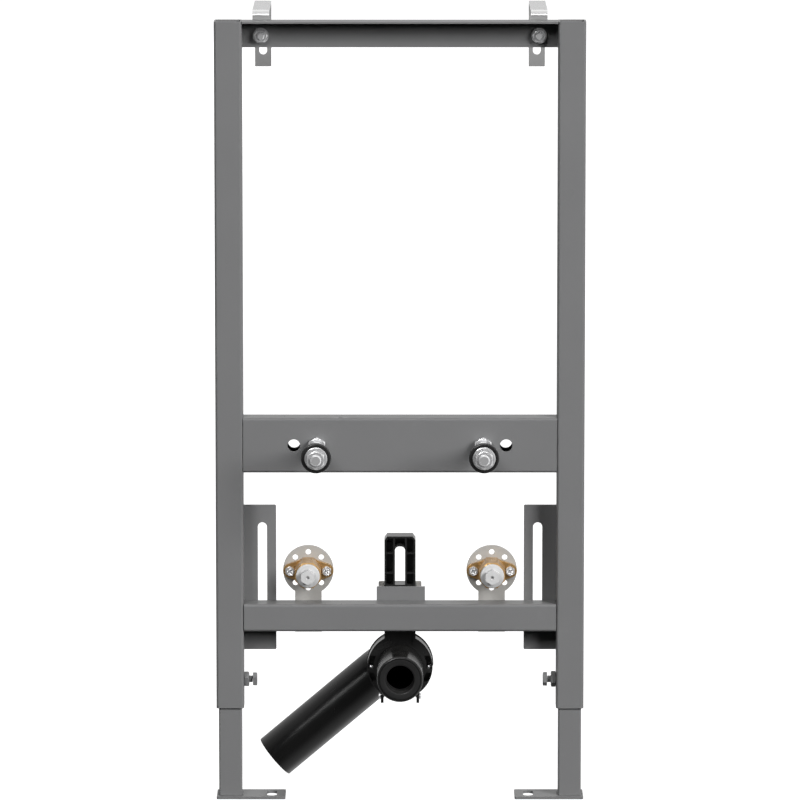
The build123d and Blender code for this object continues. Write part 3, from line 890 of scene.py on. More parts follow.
def build_crystals(tree: bpy.types.NodeTree) -> None:
    """The patchy crystals of a zinc coat, as a tone that changes from cell to cell."""
    shop = Workshop(tree, {"Cell Size": 4.0}, ["Tone"])
    work, spot = shop.work, shop.spot
    scale = work.math("DIVIDE", CELLS, shop.given["Cell Size"])
    wobble = work.add("ShaderNodeTexNoise", {"Vector": spot, "Scale": 300.0}).outputs["Color"]
    small = work.add("ShaderNodeVectorMath", {"0": wobble, "Scale": 0.002}, operation="SCALE").outputs[0]
    bent = work.add("ShaderNodeVectorMath", {"0": spot, "1": small}, operation="ADD").outputs[0]
    cells = work.add("ShaderNodeTexVoronoi", {"Vector": bent, "Scale": scale}).outputs["Color"]
    shop.give("Tone", work.add("ShaderNodeSeparateColor", {"Color": cells}).outputs[0])


def build_dust(tree: bpy.types.NodeTree) -> None:
    """Dust that lies on faces which look upwards."""
    shop = Workshop(tree, {"Amount": 0.3}, ["Mask"])
    work = shop.work
    normal = work.add("ShaderNodeNewGeometry").outputs["Normal"]
    up = work.add("ShaderNodeSeparateXYZ", {"Vector": normal}).outputs["Z"]
    patches = work.spread(work.noise(shop.spot, 90.0, 4.0), 0.3, 0.7)
    lying = work.math("MULTIPLY", work.spread(up, 0.5, 1.0), patches)
    shop.give("Mask", work.math("MULTIPLY", lying, shop.given["Amount"]))


EFFECT_BUILDERS = {
    Effect.SKIN: build_skin,
    Effect.SCUFFS: build_scuffs,
    Effect.EDGES: build_edges,
    Effect.CRYSTALS: build_crystals,
    Effect.DUST: build_dust,
}


@dataclass(frozen=True)
class Finish:
    """One finish: a material for one slot of the record.

    The colours are linear. A finish is built once, and its pieces share it.
    """

    slot: str
    colour: Point
    second: Point
    roughness: float
    grain: float = 0.6
    relief: float = 0.02
    metallic: float = 0.0
    specular: float = 0.5

    def material(self) -> bpy.types.Material:
        """The finish's material, built at the first call."""
        found = bpy.data.materials.get(self.slot + "_finish")
        if found:
            return found
        made = bpy.data.materials.new(self.slot + "_finish")
        made.use_nodes = True
        made.diffuse_color = (*self.colour, 1.0)
        tree = Tree(made.node_tree)
        shader = made.node_tree.nodes["Principled BSDF"]
        shader.inputs["Metallic"].default_value = self.metallic
        shader.inputs["Specular IOR Level"].default_value = self.specular
        self.dress(tree, shader)
        return made

    def two_tone(self, tree: Tree, tone: Socket) -> Socket:
        """Mix the finish's two colours.

        Args:
            tree: the material's tree.
            tone: how much of the second.

        Returns:
            The mixed colour.
        """
        return tree.mix(tone, (*self.colour, 1), (*self.second, 1))

    def paler(self, gain: float, lift: float = 0.0) -> tuple[float, ...]:
        """The first colour made paler, for scuffs and for edges, where it is part real wear and part painted
        edge highlight.

        Args:
            gain: what it is multiplied by.
            lift: what is added.

        Returns:
            The paler colour.
        """
        return (*(min(1.0, c * gain + lift) for c in self.colour), 1)

    def finish_off(
        self,
        tree: Tree,
        shader: bpy.types.Node,
        colour: Socket,
        rough: Socket,
        height: Socket,
        strength: float = 1.0,
    ) -> None:
        """Join colour, roughness and relief to the shader.

        Args:
            tree: the material's tree.
            shader: its shader.
            colour: the colour.
            rough: the roughness.
            height: the relief's pattern.
            strength: strength of the relief.
        """
        inputs = {"Height": height, "Distance": self.relief * MM, "Strength": strength}
        bump = tree.add("ShaderNodeBump", inputs)
        tree.join(colour, shader, "Base Color")
        tree.join(rough, shader, "Roughness")
        tree.join(bump.outputs["Normal"], shader, "Normal")

    def dress(self, tree: Tree, shader: bpy.types.Node) -> None:
        """Join the finish's patterns to the shader.

        Args:
            tree: the material's tree.
            shader: its shader.
        """
        raise NotImplementedError


@dataclass(frozen=True)
class PowderCoat(Finish):
    """Satin powder coat with a fine skin, its edges painted paler: part thin coat, part painted edge
    highlight.
    """

    def dress(self, tree: Tree, shader: bpy.types.Node) -> None:
        """Join skin, tone, scuffs, edges and dust to the shader."""
        skin = Effect.SKIN.use(tree, Grain_Size=self.grain, Cloud_Size=90.0)
        edge = Effect.EDGES.use(tree, Width=0.7, Breakup=0.5)["Mask"]
        scuff = Effect.SCUFFS.use(tree, Density=0.6)["Mask"]
        dust = Effect.DUST.use(tree, Amount=0.1)["Mask"]
        base = self.two_tone(tree, tree.spread(skin["Tone"], 0.3, 0.7))
        # edges are mixed towards a paler colour: part thin coat, part painted edge highlight; scuffs get the
        # same paler colour as real wear
        pale_wear_and_highlight = self.paler(1.45)
        highlit_and_worn_edges = tree.mix(tree.math("MULTIPLY", edge, 0.45), base, pale_wear_and_highlight)
        rubbed = tree.mix(tree.math("MULTIPLY", scuff, 0.25), highlit_and_worn_edges, pale_wear_and_highlight)
        dusty = tree.mix(dust, rubbed, (0.45, 0.44, 0.42, 1))
        rough = tree.spread(skin["Tone"], 0.3, 0.7, self.roughness - 0.03, self.roughness + 0.03)
        rough = tree.math("SUBTRACT", rough, tree.math("MULTIPLY", scuff, 0.12))
        self.finish_off(tree, shader, dusty, rough, skin["Relief"])


@dataclass(frozen=True)
class ZincCoat(Finish):
    """Zinc plate or galvanising on steel, with its crystals and fine scuffs."""

    crystal: float = 3.0
    contrast: float = 0.5

    def dress(self, tree: Tree, shader: bpy.types.Node) -> None:
        """Join crystals, scuffs and edges to the shader."""
        crystals = Effect.CRYSTALS.use(tree, Cell_Size=self.crystal)["Tone"]
        skin = Effect.SKIN.use(tree, Grain_Size=self.grain, Cloud_Size=25.0)
        scuff = Effect.SCUFFS.use(tree, Density=0.8)["Mask"]
        edge = Effect.EDGES.use(tree, Width=0.4, Breakup=0.3)["Mask"]
        blend = tree.math("MULTIPLY", crystals, self.contrast)
        clouds = tree.math("MULTIPLY", skin["Tone"], 1 - self.contrast)
        base = self.two_tone(tree, tree.math("ADD", blend, clouds))
        # edges painted paler: part worn zinc, part painted edge highlight
        worn_and_highlit = tree.mix(tree.math("MULTIPLY", edge, 0.5), base, self.paler(1.15))
        rough = tree.spread(crystals, 0.0, 1.0, self.roughness - 0.02, self.roughness + 0.02)
        rough = tree.math("ADD", rough, tree.math("MULTIPLY", scuff, 0.15))
        height = tree.math("ADD", skin["Relief"], tree.math("MULTIPLY", scuff, -0.5))
        self.finish_off(tree, shader, worn_and_highlit, rough, height, 0.8)


@dataclass(frozen=True)
class CastBrass(Finish):
    """Pressed brass with a slow change of tone."""

    def dress(self, tree: Tree, shader: bpy.types.Node) -> None:
        """Join tarnish, skin and edges to the shader."""
        skin = Effect.SKIN.use(tree, Grain_Size=self.grain, Cloud_Size=9.0)
        edge = Effect.EDGES.use(tree, Width=0.6, Breakup=0.3)["Mask"]
        base = self.two_tone(tree, tree.spread(skin["Tone"], 0.35, 0.7))
        # edges painted paler: part worn brass, part painted edge highlight
        worn_and_highlit = tree.mix(tree.math("MULTIPLY", edge, 0.7), base, self.paler(1.25))
        rough = tree.spread(skin["Tone"], 0.3, 0.7, self.roughness - 0.06, self.roughness + 0.1)
        self.finish_off(tree, shader, worn_and_highlit, rough, skin["Relief"])


@dataclass(frozen=True)
class Moulding(Finish):
    """Moulded plastic or rubber with a fine spark-eroded skin, its edges painted paler: part wear, part
    painted edge highlight.
    """

    # how strongly edges are painted paler: part worn moulding, part painted edge highlight
    edge: float = 0.3

    def dress(self, tree: Tree, shader: bpy.types.Node) -> None:
        """Join skin, scuffs, edges and dust to the shader."""
        skin = Effect.SKIN.use(tree, Grain_Size=self.grain, Cloud_Size=40.0)
        scuff = Effect.SCUFFS.use(tree, Density=0.7)["Mask"]
        edge = Effect.EDGES.use(tree, Width=0.5, Breakup=0.2)["Mask"]
        dust = Effect.DUST.use(tree, Amount=0.06)["Mask"]
        base = self.two_tone(tree, tree.spread(skin["Tone"], 0.3, 0.7))
        # edges painted much paler: part worn moulding, part painted edge highlight
        highlit_and_worn_edges = tree.mix(tree.math("MULTIPLY", edge, self.edge), base, self.paler(2.2, 0.03))
        dusty = tree.mix(dust, highlit_and_worn_edges, (0.4, 0.39, 0.37, 1))
        rough = tree.spread(skin["Tone"], 0.3, 0.7, self.roughness - 0.04, self.roughness + 0.04)
        rough = tree.math("ADD", rough, tree.math("MULTIPLY", scuff, 0.12))
        self.finish_off(tree, shader, dusty, rough, skin["Relief"])


def grey(level: float) -> Point:
    """A neutral colour.

    Args:
        level: its linear level.

    Returns:
        The colour.
    """
    return (level, level, level)


PAINT = PowderCoat(
    "frame_paint", (0.176, 0.177, 0.179), (0.184, 0.185, 0.187), 0.3, grain=0.5, relief=0.004, specular=0.08
)
BRIGHT_ZINC = ZincCoat(
    "bright_zinc", grey(0.62), grey(0.66), 0.18, relief=0.002, metallic=0.66, crystal=2.0, contrast=0.2
)
FASTENER_ZINC = ZincCoat(
    "fastener_zinc",
    (0.82, 0.82, 0.83),
    (0.88, 0.88, 0.89),
    0.1,
    grain=0.3,
    relief=0.001,
    metallic=0.7,
    crystal=0.8,
    contrast=0.2,
)
GALVANISED = ZincCoat("galvanised", (0.45, 0.44, 0.42), (0.48, 0.47, 0.45), 0.5, relief=0.004, metallic=0.25)
BRASS = CastBrass("brass", (0.6, 0.38, 0.16), (0.45, 0.26, 0.1), 0.3, grain=0.4, relief=0.008, metallic=0.75)
WHITE_PLASTIC = Moulding("white_plastic", grey(0.62), grey(0.59), 0.36, grain=0.35, relief=0.005, edge=0.1)
BLACK_PLASTIC = Moulding(
    "black_plastic", grey(0.015), grey(0.018), 0.24, grain=0.35, relief=0.004, specular=0.4
)
PIPE_PLASTIC = Moulding(
    "pipe_plastic", grey(0.006), grey(0.008), 0.22, grain=0.8, relief=0.001, specular=0.38, edge=0.15
)
RUBBER = Moulding("rubber", grey(0.014), grey(0.018), 0.38, grain=0.3, relief=0.005, specular=0.3, edge=0.1)


# Sub-assemblies


@dataclass
class MainFrame:
    """The welded main frame: uprights, rails, side plates and weld beads."""

    edge: float = 0.5
    bead: float = 2.0
    rail_end: float = 170.0
    rail_bead_depth: float = -121.0
    plate_edge_x: float = 194.6
    plate_bead_depth: float = -119.2

    def build(self) -> None:
        """Build and dress the frame's painted pieces."""
        for side, _ in SIDES:
            fit_solid(f"{side}_upright", f"{side}_upright_tube", self.edge, Body.FRAME, PAINT)
            fit_solid(f"{side}_slotted_plate", f"{side}_side_plate", TUBE_EDGE, Body.FRAME, PAINT)
        fit_solid("top_rail", "top_angle", TUBE_EDGE, Body.FRAME, PAINT)
        fit_solid("middle_rail", "stud_rail", TUBE_EDGE, Body.FRAME, PAINT)
        for side, sign in SIDES:
            self.build_beads(side, sign)

    def build_beads(self, side: str, sign: int) -> None:
        """Lay one side's weld beads at the back, where side plate and rails meet the upright.

        Args:
            side: left or right.
            sign: -1 at the left, 1 at the right.
        """
        for name, x, depth, low, high, tilt in (
            ("plate_bead", self.plate_edge_x, self.plate_bead_depth, 170.0, 200.0, 1),
            ("plate_bead_upper", self.plate_edge_x, self.plate_bead_depth, 280.0, 310.0, 1),
            ("rail_bead", self.rail_end, self.rail_bead_depth, 366.0, 414.0, -1),
            ("angle_bead", self.rail_end, self.rail_bead_depth, 824.0, 844.0, -1),
        ):
            start, end = (sign * x, depth, low), (sign * x, depth, high)
            fit(weld_bead(f"{side}_{name}", start, end, self.bead, (sign * tilt, 1, 0)), Body.FRAME, PAINT)


@dataclass
class Leg:
    """One telescopic leg with its foot plate, lock nut and clamping bolt."""

    side: str
    sign: int
    body: Body
    x: float = 185.0
    depth: float = -135.0
    bead: float = 1.4
    bead_offset: float = 12.6
    bead_length: float = 16.0
    bead_height: float = 3.4
    lock_height: float = 130.0
    nut_seat: float = 170.0
    nut_flats: float = 15.0
    nut_thickness: float = 5.5
    nut_turn: float = 12.0
    bolt_seat: float = 160.4
    bolt_turn: float = 8.0
    head_thickness: float = 4.7
    bolt_length: float = 12.0

    def build(self) -> None:
        """Build and dress the leg."""
        fit_solid(f"{self.side}_leg", f"{self.side}_leg_tube", TUBE_EDGE, self.body, PAINT)
        fit_solid(f"{self.side}_foot_plate", f"{self.side}_foot_sheet", SHEET_EDGE, self.body, PAINT)
        self.build_foot_beads()
        self.build_lock()

    def build_foot_beads(self) -> None:
        """Lay the weld beads along the leg's inner and outer bottom edges."""
        front, back = self.depth - self.bead_length / 2, self.depth + self.bead_length / 2
        for edge, out in (("inner", -self.sign), ("outer", self.sign)):
            x = self.sign * self.x + out * self.bead_offset
            start, end = (x, front, self.bead_height), (x, back, self.bead_height)
            bead = weld_bead(f"{self.side}_foot_bead_{edge}", start, end, self.bead, (out, 0, 1))
            fit(bead, self.body, PAINT)

    def build_lock(self) -> None:
        """Build the nut on the upright's inner face and the bolt that clamps the leg."""
        inward = Facing.LEFT if self.sign > 0 else Facing.RIGHT
        nut = hex_head(f"{self.side}_lock_nut", self.nut_flats, self.nut_thickness, M8)
        place(nut, (self.sign * self.nut_seat, self.depth, self.lock_height), inward, self.nut_turn)
        fit(nut, Body.FRAME, PAINT, ["leg_lock_nuts"])
        bolt = hex_bolt(f"{self.side}_lock_bolt", self.head_thickness, self.bolt_length, 0.8)
        place(bolt, (self.sign * self.bolt_seat, self.depth, self.lock_height), inward, self.bolt_turn)
        fit(bolt, Body.FRAME, PAINT, ["leg_lock_bolts"])


@dataclass
class WallHooks:
    """The two wall hooks with their bolts, washers and nuts."""

    x: float = 150.0
    height: float = 833.0
    web: float = -122.0
    washer_width: float = 17.0
    washer_thickness: float = 1.6
    nut_thickness: float = 6.5
    bolt_end: float = -133.1
    head_seat: float = -117.0
    head_thickness: float = 5.3
    into_head: float = 0.2
    edge: float = 0.4

    def build(self) -> None:
        """Build and dress both hooks with their fasteners."""
        for side, _ in SIDES:
            fit_solid(f"{side}_wall_hook", f"{side}_hook_strap", self.edge, Body.FRAME, BRIGHT_ZINC)
        ring = washer("left_hook_washer", self.washer_width, self.washer_thickness, M8 / 2 + PLAY)
        nut = hex_head("left_hook_nut", M8_FLATS, self.nut_thickness, M8)
        length = self.head_seat - self.bolt_end + self.into_head
        bolt = thread("left_hook_bolt", M8, M8_PITCH, length, M8_CHAMFER)
        head = hex_head("head", M8_FLATS, self.head_thickness, both_sides=False)
        joined(bolt, place(head, (0, 0, 0), Facing.DOWN))
        for piece, seat, node in (
            (ring, self.web, "hook_washers"),
            (nut, self.web - self.washer_thickness, "hook_nuts"),
            (bolt, self.head_seat, "hook_bolts"),
        ):
            fit_pair(piece, (-self.x, seat, self.height), Facing.ROOM, Body.FRAME, FASTENER_ZINC, node)


@dataclass
class Studs:
    """The two threaded studs that carry the bidet, with all that sits on them."""

    x: float = 90.0
    height: float = 390.0
    diameter: float = 12.0
    pitch: float = 1.75
    back_end: float = -104.0
    length: float = 153.0
    chamfer: float = 1.3
    nut_flats: float = 18.0
    nut_thickness: float = 10.0
    nut_turn: float = 30.0
    front: float = -150.0
    back: float = -120.0
    bush_seat: float = -234.8
    bush: float = 32.5
    bush_thickness: float = 6.0
    bush_rim: float = 1.6
    bush_dish: float = 13.2
    sleeve: float = 20.0
    sleeve_length: float = 12.0
    washer_width: float = 24.5
    washer_thickness: float = 2.2

    def build(self) -> None:
        """Build and dress the left stud's pieces and copy each to the right."""
        stud = thread("left_threaded_stud", self.diameter, self.pitch, self.length, self.chamfer)
        front_nut = hex_head("left_front_lock_nut", self.nut_flats, self.nut_thickness, self.diameter)
        back_nut = copied(front_nut, "left_back_lock_nut")
        end_nut = copied(front_nut, "left_end_nut")
        back_seat = self.back + self.nut_thickness
        washer_seat = self.bush_seat - self.bush_thickness
        end_seat = washer_seat - self.washer_thickness
        for piece, seat, finish, node, turn in (
            (stud, self.back_end, FASTENER_ZINC, "left_stud", 0.0),
            (front_nut, self.front, FASTENER_ZINC, "stud_lock_nuts", self.nut_turn),
            (back_nut, back_seat, FASTENER_ZINC, "stud_lock_nuts", self.nut_turn),
            (self.make_bush(), self.bush_seat, BLACK_PLASTIC, "stud_bushes", 0.0),
            (self.make_washer(), washer_seat, FASTENER_ZINC, "stud_washers", 0.0),
            (end_nut, end_seat, FASTENER_ZINC, "stud_end_nuts", self.nut_turn),
        ):
            fit_pair(piece, (-self.x, seat, self.height), Facing.ROOM, Body.FRAME, finish, node, turn)

    def make_bush(self) -> Piece:
        """Turn the plastic bush: a rounded flange with a sleeve behind it."""
        hole = self.diameter / 2 + PLAY
        r, t, s, length = self.bush / 2, self.bush_thickness, self.sleeve / 2, self.sleeve_length
        rim, dish, deep = self.bush_rim, self.bush_dish, 0.4
        stations = [(s, 0), (r - 1.0, 0), (r - 0.3, 0.3), (r, 1.0)]
        for angle in (0, 0.4, 0.8, 1.2, math.pi / 2):
            stations.append((r - rim + rim * math.cos(angle), t - rim + rim * math.sin(angle)))
        stations += [(dish, t), (dish - 0.3, t - deep), (hole, t - deep)]
        stations += [(hole, -length), (s - 0.6, -length), (s, -length + 0.6)]
        return turned("left_stud_bush", stations, bored=True, sides=72)

    def make_washer(self) -> Piece:
        """Turn the pressed washer, with a rounded front edge."""
        hole = self.diameter / 2 + 0.3
        r, t = self.washer_width / 2, self.washer_thickness
        stations = [(r - 0.2, 0), (r, 0.2), (r, t - 0.6), (r - 0.2, t - 0.2), (r - 0.6, t)]
        stations += [(hole + 0.3, t), (hole, t - 0.3), (hole, 0)]
        return turned("left_stud_washer", stations, bored=True, sides=72)


@dataclass
class WaterConnections:
    """The two water connections: keyhole plate, brass connector, test plug and screws."""

    x: float = 100.0
    height: float = 248.0
    back: float = -120.0
    reach: float = 37.0
    flange: float = 6.0
    ear: float = 20.0
    collar_end: float = -114.0
    stub: float = 20.95
    stub_pitch: float = 1.814
    stub_length: float = 18.0
    bore: float = 15.0
    plug_flange: float = 26.0
    plug_flange_thickness: float = 4.0
    plug_flats: float = 14.3
    plug_length: float = 9.0
    plug_recess: float = 3.4
    shank: float = 20.8
    shank_length: float = 12.0
    screw_flats: float = 9.6
    screw_head_height: float = 3.2
    screw_recess: float = 2.4
    screw_thread: float = 5.0
    screw_length: float = 12.5
    turn: float = 30.0
    edge: float = 0.6

    def build(self) -> None:
        """Build and dress both connections."""
        stub = thread("left_stub_thread", self.stub, self.stub_pitch, self.stub_length, 0.8, bore=self.bore)
        place(stub, (-self.x, self.collar_end, self.height), Facing.WALL)
        plug_at = (-self.x, self.back - self.reach, self.height)
        plug = place(self.make_plug(), plug_at, Facing.ROOM, self.turn)
        screw_at = (-self.x - self.ear, self.back - self.flange, self.height)
        screw = place(self.make_screw(), screw_at, Facing.ROOM, self.turn)
        for side, sign in SIDES:
            fit_solid(f"{side}_water_plate", f"{side}_keyhole_plate", SHEET_EDGE, Body.RAIL, GALVANISED)
            fit(self.make_connector(side), Body.RAIL, BRASS, [f"{side}_brass_connector"])
            across = self.x + sign * self.x
            fit(copied(stub, f"{side}_stub_threads", (across, 0, 0)), Body.RAIL, BRASS)
            fit(copied(plug, f"{side}_plug", (across, 0, 0)), Body.RAIL, WHITE_PLASTIC, [f"{side}_test_plug"])
            for ear, along in (("left", 0.0), ("right", 2 * self.ear)):
                each = copied(screw, f"{side}_{ear}_ear_screw", (across + along, 0, 0))
                fit(each, Body.RAIL, FASTENER_ZINC, ["connector_screws"])
        for bench_piece in (stub, plug, screw):
            bpy.data.objects.remove(bench_piece)

    def make_connector(self, side: str) -> Piece:
        """Take the connector from its solid, cut its plain stub off and round its edges.

        Args:
            side: left or right.

        Returns:
            The connector without its stub.
        """
        connector = from_solid(f"{side}_brass_connector", f"{side}_connector")
        open_mesh(connector)
        cut = (0, (self.collar_end - 0.01) * MM, 0)
        bpy.ops.mesh.bisect(plane_co=cut, plane_no=(0, 1, 0), use_fill=False, clear_outer=True)
        close_mesh()
        return soften(connector, self.edge, 3)

    def make_screw(self) -> Piece:
        """Make the hexagonal screw with a cross recess in its head."""
        screw = hex_head("screw_on_bench", self.screw_flats, self.screw_head_height, both_sides=False)
        cut_cross(screw, 0.62 * self.screw_flats, self.screw_head_height, self.screw_recess)
        return with_stem(screw, self.screw_thread, SCREW_PITCH, self.screw_length, SCREW_CHAMFER)

    def make_plug(self) -> Piece:
        """Turn the plug's flange and shank, and join its hexagon head with the small recess."""
        r, t = self.plug_flange / 2, self.plug_flange_thickness
        s, deep, top = self.shank / 2, -self.shank_length, t + self.plug_length
        stations = [(s - 0.8, deep), (s, deep + 0.8), (s, 0), (r - 0.5, 0), (r, 0.5)]
        stations += [(r, t - 0.9), (r - 0.3, t - 0.3), (r - 0.9, t)]
        plug = turned("plug_on_bench", stations)
        head = hexagon("head", self.plug_flats, t - 1, top)
        corner = self.plug_flats / math.sqrt(3)
        sides = [(corner + 0.2, t - 1.5), (corner + 0.2, top - 0.5), (corner - 0.7, top)]
        carve(head, turned("blank", sides), "INTERSECT")
        carve(plug, head, "UNION")
        hole = self.plug_recess / 2
        carve(plug, turned("recess", [(hole, top - 3), (hole, top - 0.3), (hole + 0.4, top + 0.1)], sides=24))
        return soften(plug, 0.25, 2, 25.0)


@dataclass
class ConnectionRail:
    """The sliding lower rail with its bracket and the bolts behind it."""

    bolt_x: float = 150.0
    height: float = 200.0
    washer_seat: float = -116.8
    washer_width: float = 20.0
    washer_thickness: float = 1.6
    head_thickness: float = 5.3
    bolt_length: float = 12.8

    def build(self) -> None:
        """Build and dress the rail, its bracket and its bolts."""
        fit_solid("lower_rail", "sliding_rail", TUBE_EDGE, Body.RAIL, PAINT)
        fit_solid("drain_bracket", "bracket_plate", SHEET_EDGE, Body.RAIL, PAINT)
        ring = washer("left_rail_washer", self.washer_width, self.washer_thickness, M8 / 2 + PLAY)
        bolt = hex_bolt("left_rail_bolt", self.head_thickness, self.bolt_length)
        bolt_seat = self.washer_seat + self.washer_thickness
        for piece, seat, node in ((ring, self.washer_seat, "rail_washers"), (bolt, bolt_seat, "rail_bolts")):
            fit_pair(piece, (-self.bolt_x, seat, self.height), Facing.WALL, Body.RAIL, FASTENER_ZINC, node)


@dataclass
class DrainHolder:
    """The ribbed drain holder with its clamp ring, back plate, bolt and screws."""

    height: float = 200.0
    plate_back: float = -90.5
    head_thickness: float = 5.3
    bolt_length: float = 37.5
    ring_screw_at: Point = (31.8, -110.0, 138.0)
    ring_screw_head: float = 5.4
    ring_screw_length: float = 5.3
    lug_screw_at: Point = (21.0, -109.0, 106.0)
    lug_screw_head: float = 7.0
    lug_screw_length: float = 4.0
    lug_screw_turn: float = 20.0
    screw: float = 4.0
    screw_head_height: float = 2.6
    top: float = 284.5
    wall: float = 2.0
    cell_half: float = 5.8
    cell_front: float = -117.0
    cell_back: float = -101.7
    side_cell: tuple[Station, ...] = ((7.5, 276.0), (15.0, 276.0), (15.0, 279.7), (13.0, 282.5), (7.5, 282.5))
    side_cell_back: float = -102.0
    cell_deep: float = 17.0

    def build(self) -> None:
        """Build and dress the holder and all that clamps it."""
        fit(self.make_holder(), Body.RAIL, BLACK_PLASTIC, ["drain_holder"])
        fit_solid("drain_strap", "ring_lower_half", TUBE_EDGE, Body.RAIL, BLACK_PLASTIC)
        fit_solid("drain_clamp_plate", "clamp_sheet", SHEET_EDGE, Body.RAIL, GALVANISED)
        bolt = hex_bolt("holder_clamp_bolt", self.head_thickness, self.bolt_length)
        place(bolt, (0, self.plate_back, self.height), Facing.WALL)
        fit(bolt, Body.RAIL, FASTENER_ZINC, ["holder_bolt"])
        self.build_screws()

    def make_holder(self) -> Piece:
        """Close the holder's middle cell at its top and raise its upper side cells."""
        holder = carve(from_solid("drain_holder", "ribbed_holder", split=True), self.make_top_wall(), "UNION")
        for sign in (-1, 1):
            opening = cut_sheet("opening", [(sign * x, z) for x, z in self.side_cell], 0.0, self.cell_deep)
            carve(holder, place(opening, (0, self.side_cell_back, 0), Facing.ROOM))
        return soften(holder, TUBE_EDGE)

    def make_top_wall(self) -> Piece:
        """Make the thin wall that closes the middle cell at its top."""
        clear_selection()
        middle = (0, (self.cell_front + self.cell_back) / 2 * MM, (self.top - self.wall / 2) * MM)
        bpy.ops.mesh.primitive_cube_add(size=1.0, location=middle)
        wall = named("top_wall")
        open_mesh(wall)
        size = [side * MM for side in (2 * self.cell_half, self.cell_back - self.cell_front, self.wall)]
        bpy.ops.transform.resize(value=size, center_override=middle)
        close_mesh()
        return wall

    def build_screws(self) -> None:
        """Build the upright screws that close the ring, and the screws through the lugs."""
        height, size = self.screw_head_height, self.screw
        upright = cross_screw("left_ring_screw", self.ring_screw_head, height, size, self.ring_screw_length)
        x, y, z = self.ring_screw_at
        fit_pair(upright, (-x, y, z), Facing.UP, Body.RAIL, FASTENER_ZINC, "clamp_screws")
        left = cross_screw("left_lug_screw", self.lug_screw_head, height, size, self.lug_screw_length)
        right = copied(left, "right_lug_screw")
        x, y, z = self.lug_screw_at
        for lug, sign, facing in ((left, -1, Facing.LEFT), (right, 1, Facing.RIGHT)):
            place(lug, (sign * x, y, z), facing, self.lug_screw_turn)
            fit(lug, Body.RAIL, FASTENER_ZINC, ["clamp_screws"])


@dataclass
class DrainBend:
    """The drain bend and the rubber seal in its socket."""

    axis_height: float = 140.0
    face: float = -192.0
    seal_outer: float = 22.0
    seal_bore: float = 14.5
    lip: float = 1.9
    lip_depth: float = 7.0
    seal_depth: float = 26.0
    ridges: tuple[float, ...] = (13.0, 19.0)
    edge: float = 0.9

    def build(self) -> None:
        """Build and dress the bend and its seal."""
        bend = joined(from_solid("drain_bend", "swivel_bend"), from_solid("outlet_pipe", "outlet"))
        open_mesh(bend)
        merge_points(0.01)
        bpy.ops.mesh.select_all(action="DESELECT")
        bpy.ops.mesh.select_interior_faces()
        bpy.ops.mesh.delete(type="FACE")
        bpy.ops.mesh.select_all(action="SELECT")
        bpy.ops.mesh.normals_make_consistent(inside=False)
        close_mesh()
        fit(soften(bend, self.edge, 3, 45.0), Body.DRAIN, PIPE_PLASTIC, ["drain_bend", "outlet_pipe"])
        fit(self.make_seal(), Body.DRAIN, RUBBER, ["drain_seal"])

    def make_seal(self) -> Piece:
        """Turn the seal, with a rounded mouth and two ridges in its bore."""
        r, lip, deep = self.seal_bore, self.lip, self.lip_depth
        outer, end = self.seal_outer, -self.seal_depth
        stations: list[Station] = [(outer - 0.4, 0.0)]
        for angle in (0.0, 0.2, 0.4, 0.6, 0.8, 1.0, 1.2, 1.4):
            stations.append((r + lip - lip * math.sin(angle), deep * math.cos(angle) - deep))
        stations.append((r, -deep))
        for ridge in self.ridges:
            stations += [(r + 0.5, 1.0 - ridge), (r, -ridge), (r + 0.5, -ridge - 1.0)]
        stations += [(r + 0.5, end), (outer, end), (outer, -0.4)]
        seal = turned("mouth_seal", stations, bored=True, sides=72)
        return place(seal, (0, self.face, self.axis_height), Facing.ROOM)


# Studio


@dataclass
class SoftBox:
    """One soft light of the studio."""

    name: str
    at: Point
    aim: Point
    width: float
    height: float
    power: float
    diffuse: bool = True
    glossy: bool = True

    def hang(self) -> None:
        """Hang the light at its place and turn it to its aim."""
        lamp = bpy.data.lights.new(self.name, "AREA")
        lamp.shape = "RECTANGLE"
        lamp.size, lamp.size_y = self.width, self.height
        lamp.energy = self.power
        holder = bpy.data.objects.new(self.name, lamp)
        bpy.context.scene.collection.objects.link(holder)
        holder.location = self.at
        holder.rotation_euler = (Vector(self.aim) - Vector(self.at)).to_track_quat("-Z", "Y").to_euler()
        holder.visible_diffuse = self.diffuse
        holder.visible_glossy = self.glossy
        log.info("%s: %.0f W", self.name, self.power)


FRAME_MIDDLE = (0.0, -0.1, 0.4)
KEY_PLACE = (7.2, -8.1, 5.7)


